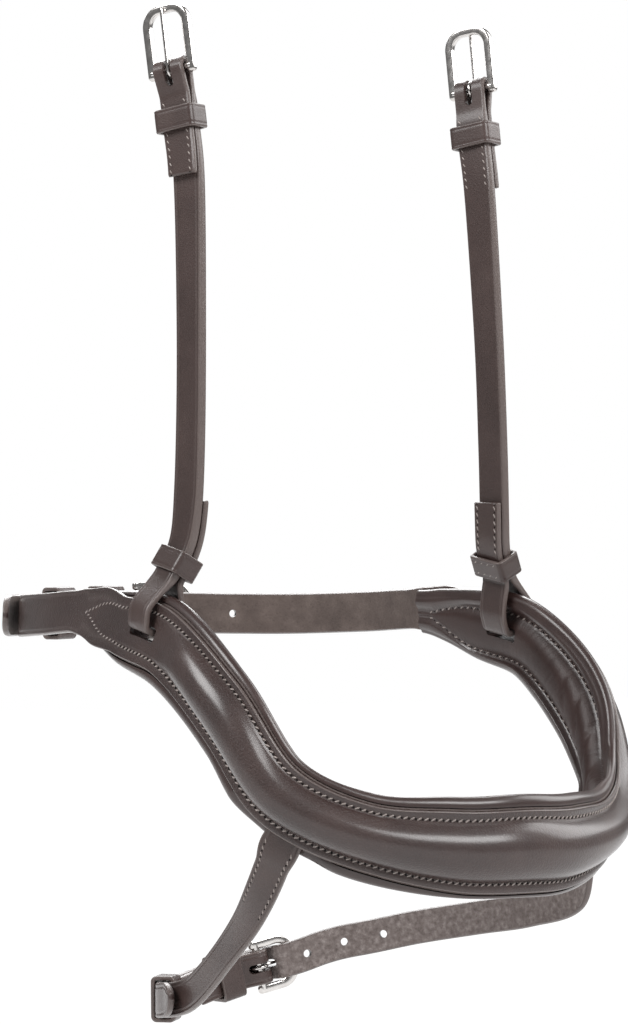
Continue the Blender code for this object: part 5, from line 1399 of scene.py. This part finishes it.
def makeFloor(sizes):
    bm = bmesh.new()
    bmesh.ops.create_grid(bm, x_segments=1, y_segments=1, size=sizes["reach"])
    bmesh.ops.translate(bm, vec=(0, 0, sizes["level"]), verts=bm.verts)
    mesh = bpy.data.meshes.new("studioFloor")
    bm.to_mesh(mesh)
    bm.free()
    skin, maker, shader, where = newMaterial("paleFloor")
    maker.feed(shader, {"Base Color": (sizes["base"],) * 3 + (1.0,), "Roughness": 0.9})
    glow = maker.add("ShaderNodeEmission", {"Color": white, "Strength": sizes["glow"]}).outputs["Emission"]
    rays = maker.add("ShaderNodeLightPath")
    # the share that takes shadow, falling to none away from the object
    away = maker.add("ShaderNodeVectorMath", {0: where}, operation="LENGTH").outputs["Value"]
    plain = maker.add("ShaderNodeMapRange", {
        "Value": away, "From Min": sizes["shadowReach"][0], "From Max": sizes["shadowReach"][1],
        "To Min": 1 - sizes["shadowShare"], "To Max": 1.0}, interpolation_type="SMOOTHSTEP").outputs["Result"]
    seen = maker.reckon("MULTIPLY", rays.outputs["Is Camera Ray"], plain)
    share = maker.reckon("MULTIPLY_ADD", rays.outputs["Is Glossy Ray"], sizes["mirrored"], seen)
    both = maker.add("ShaderNodeMixShader", {"Fac": share, 1: shader.outputs["BSDF"], 2: glow}).outputs["Shader"]
    maker.feed(skin.node_tree.nodes["Material Output"], {"Surface": both})
    addObject("studioFloor", mesh, skin)


makeFloor(floorSizes)

lightSizes = {
    "world": 0.17,
    "lamps": [  # name, place, aimed at, width, height, watts
        ("leftLight", (-1.33, 0.35, 1.28), (0.0, 0.10, 0.03), 0.85, 0.85, 24.0),
        ("frontLight", (0.08, -1.42, 1.14), (0.0, 0.05, 0.0), 1.15, 0.70, 26.0),
        ("rightLight", (1.45, -0.20, 1.05), (0.0, 0.10, 0.03), 1.20, 1.20, 17.0),
        ("backLight", (0.75, 1.55, 1.25), (0.0, 0.10, 0.05), 1.3, 1.3, 30.0),
    ],
}


def makeLights(sizes):
    world = bpy.data.worlds.new("studioAir")
    bpy.context.scene.world = world
    world.use_nodes = True
    maker = NodeMaker(world.node_tree)
    air = maker.feed(world.node_tree.nodes["Background"], {"Color": white, "Strength": sizes["world"]})
    backdrop = maker.add("ShaderNodeBackground", {"Color": white, "Strength": 1.0})
    rays = maker.add("ShaderNodeLightPath")
    pick = maker.add("ShaderNodeMixShader", {"Fac": rays.outputs["Is Camera Ray"], 1: air.outputs["Background"],
                                             2: backdrop.outputs["Background"]})
    maker.feed(world.node_tree.nodes["World Output"], {"Surface": pick.outputs["Shader"]})
    for name, place, aim, wide, tall, watts in sizes["lamps"]:
        data = bpy.data.lights.new(name, "AREA")
        data.shape = "RECTANGLE"
        data.size, data.size_y, data.energy = wide, tall, watts
        lamp = addObject(name, data)
        lamp.location = place
        lamp.rotation_euler = (Vector(aim) - Vector(place)).to_track_quat("-Z", "Y").to_euler()


makeLights(lightSizes)
bpy.context.scene.view_settings.view_transform = "Standard"
print("studio set")
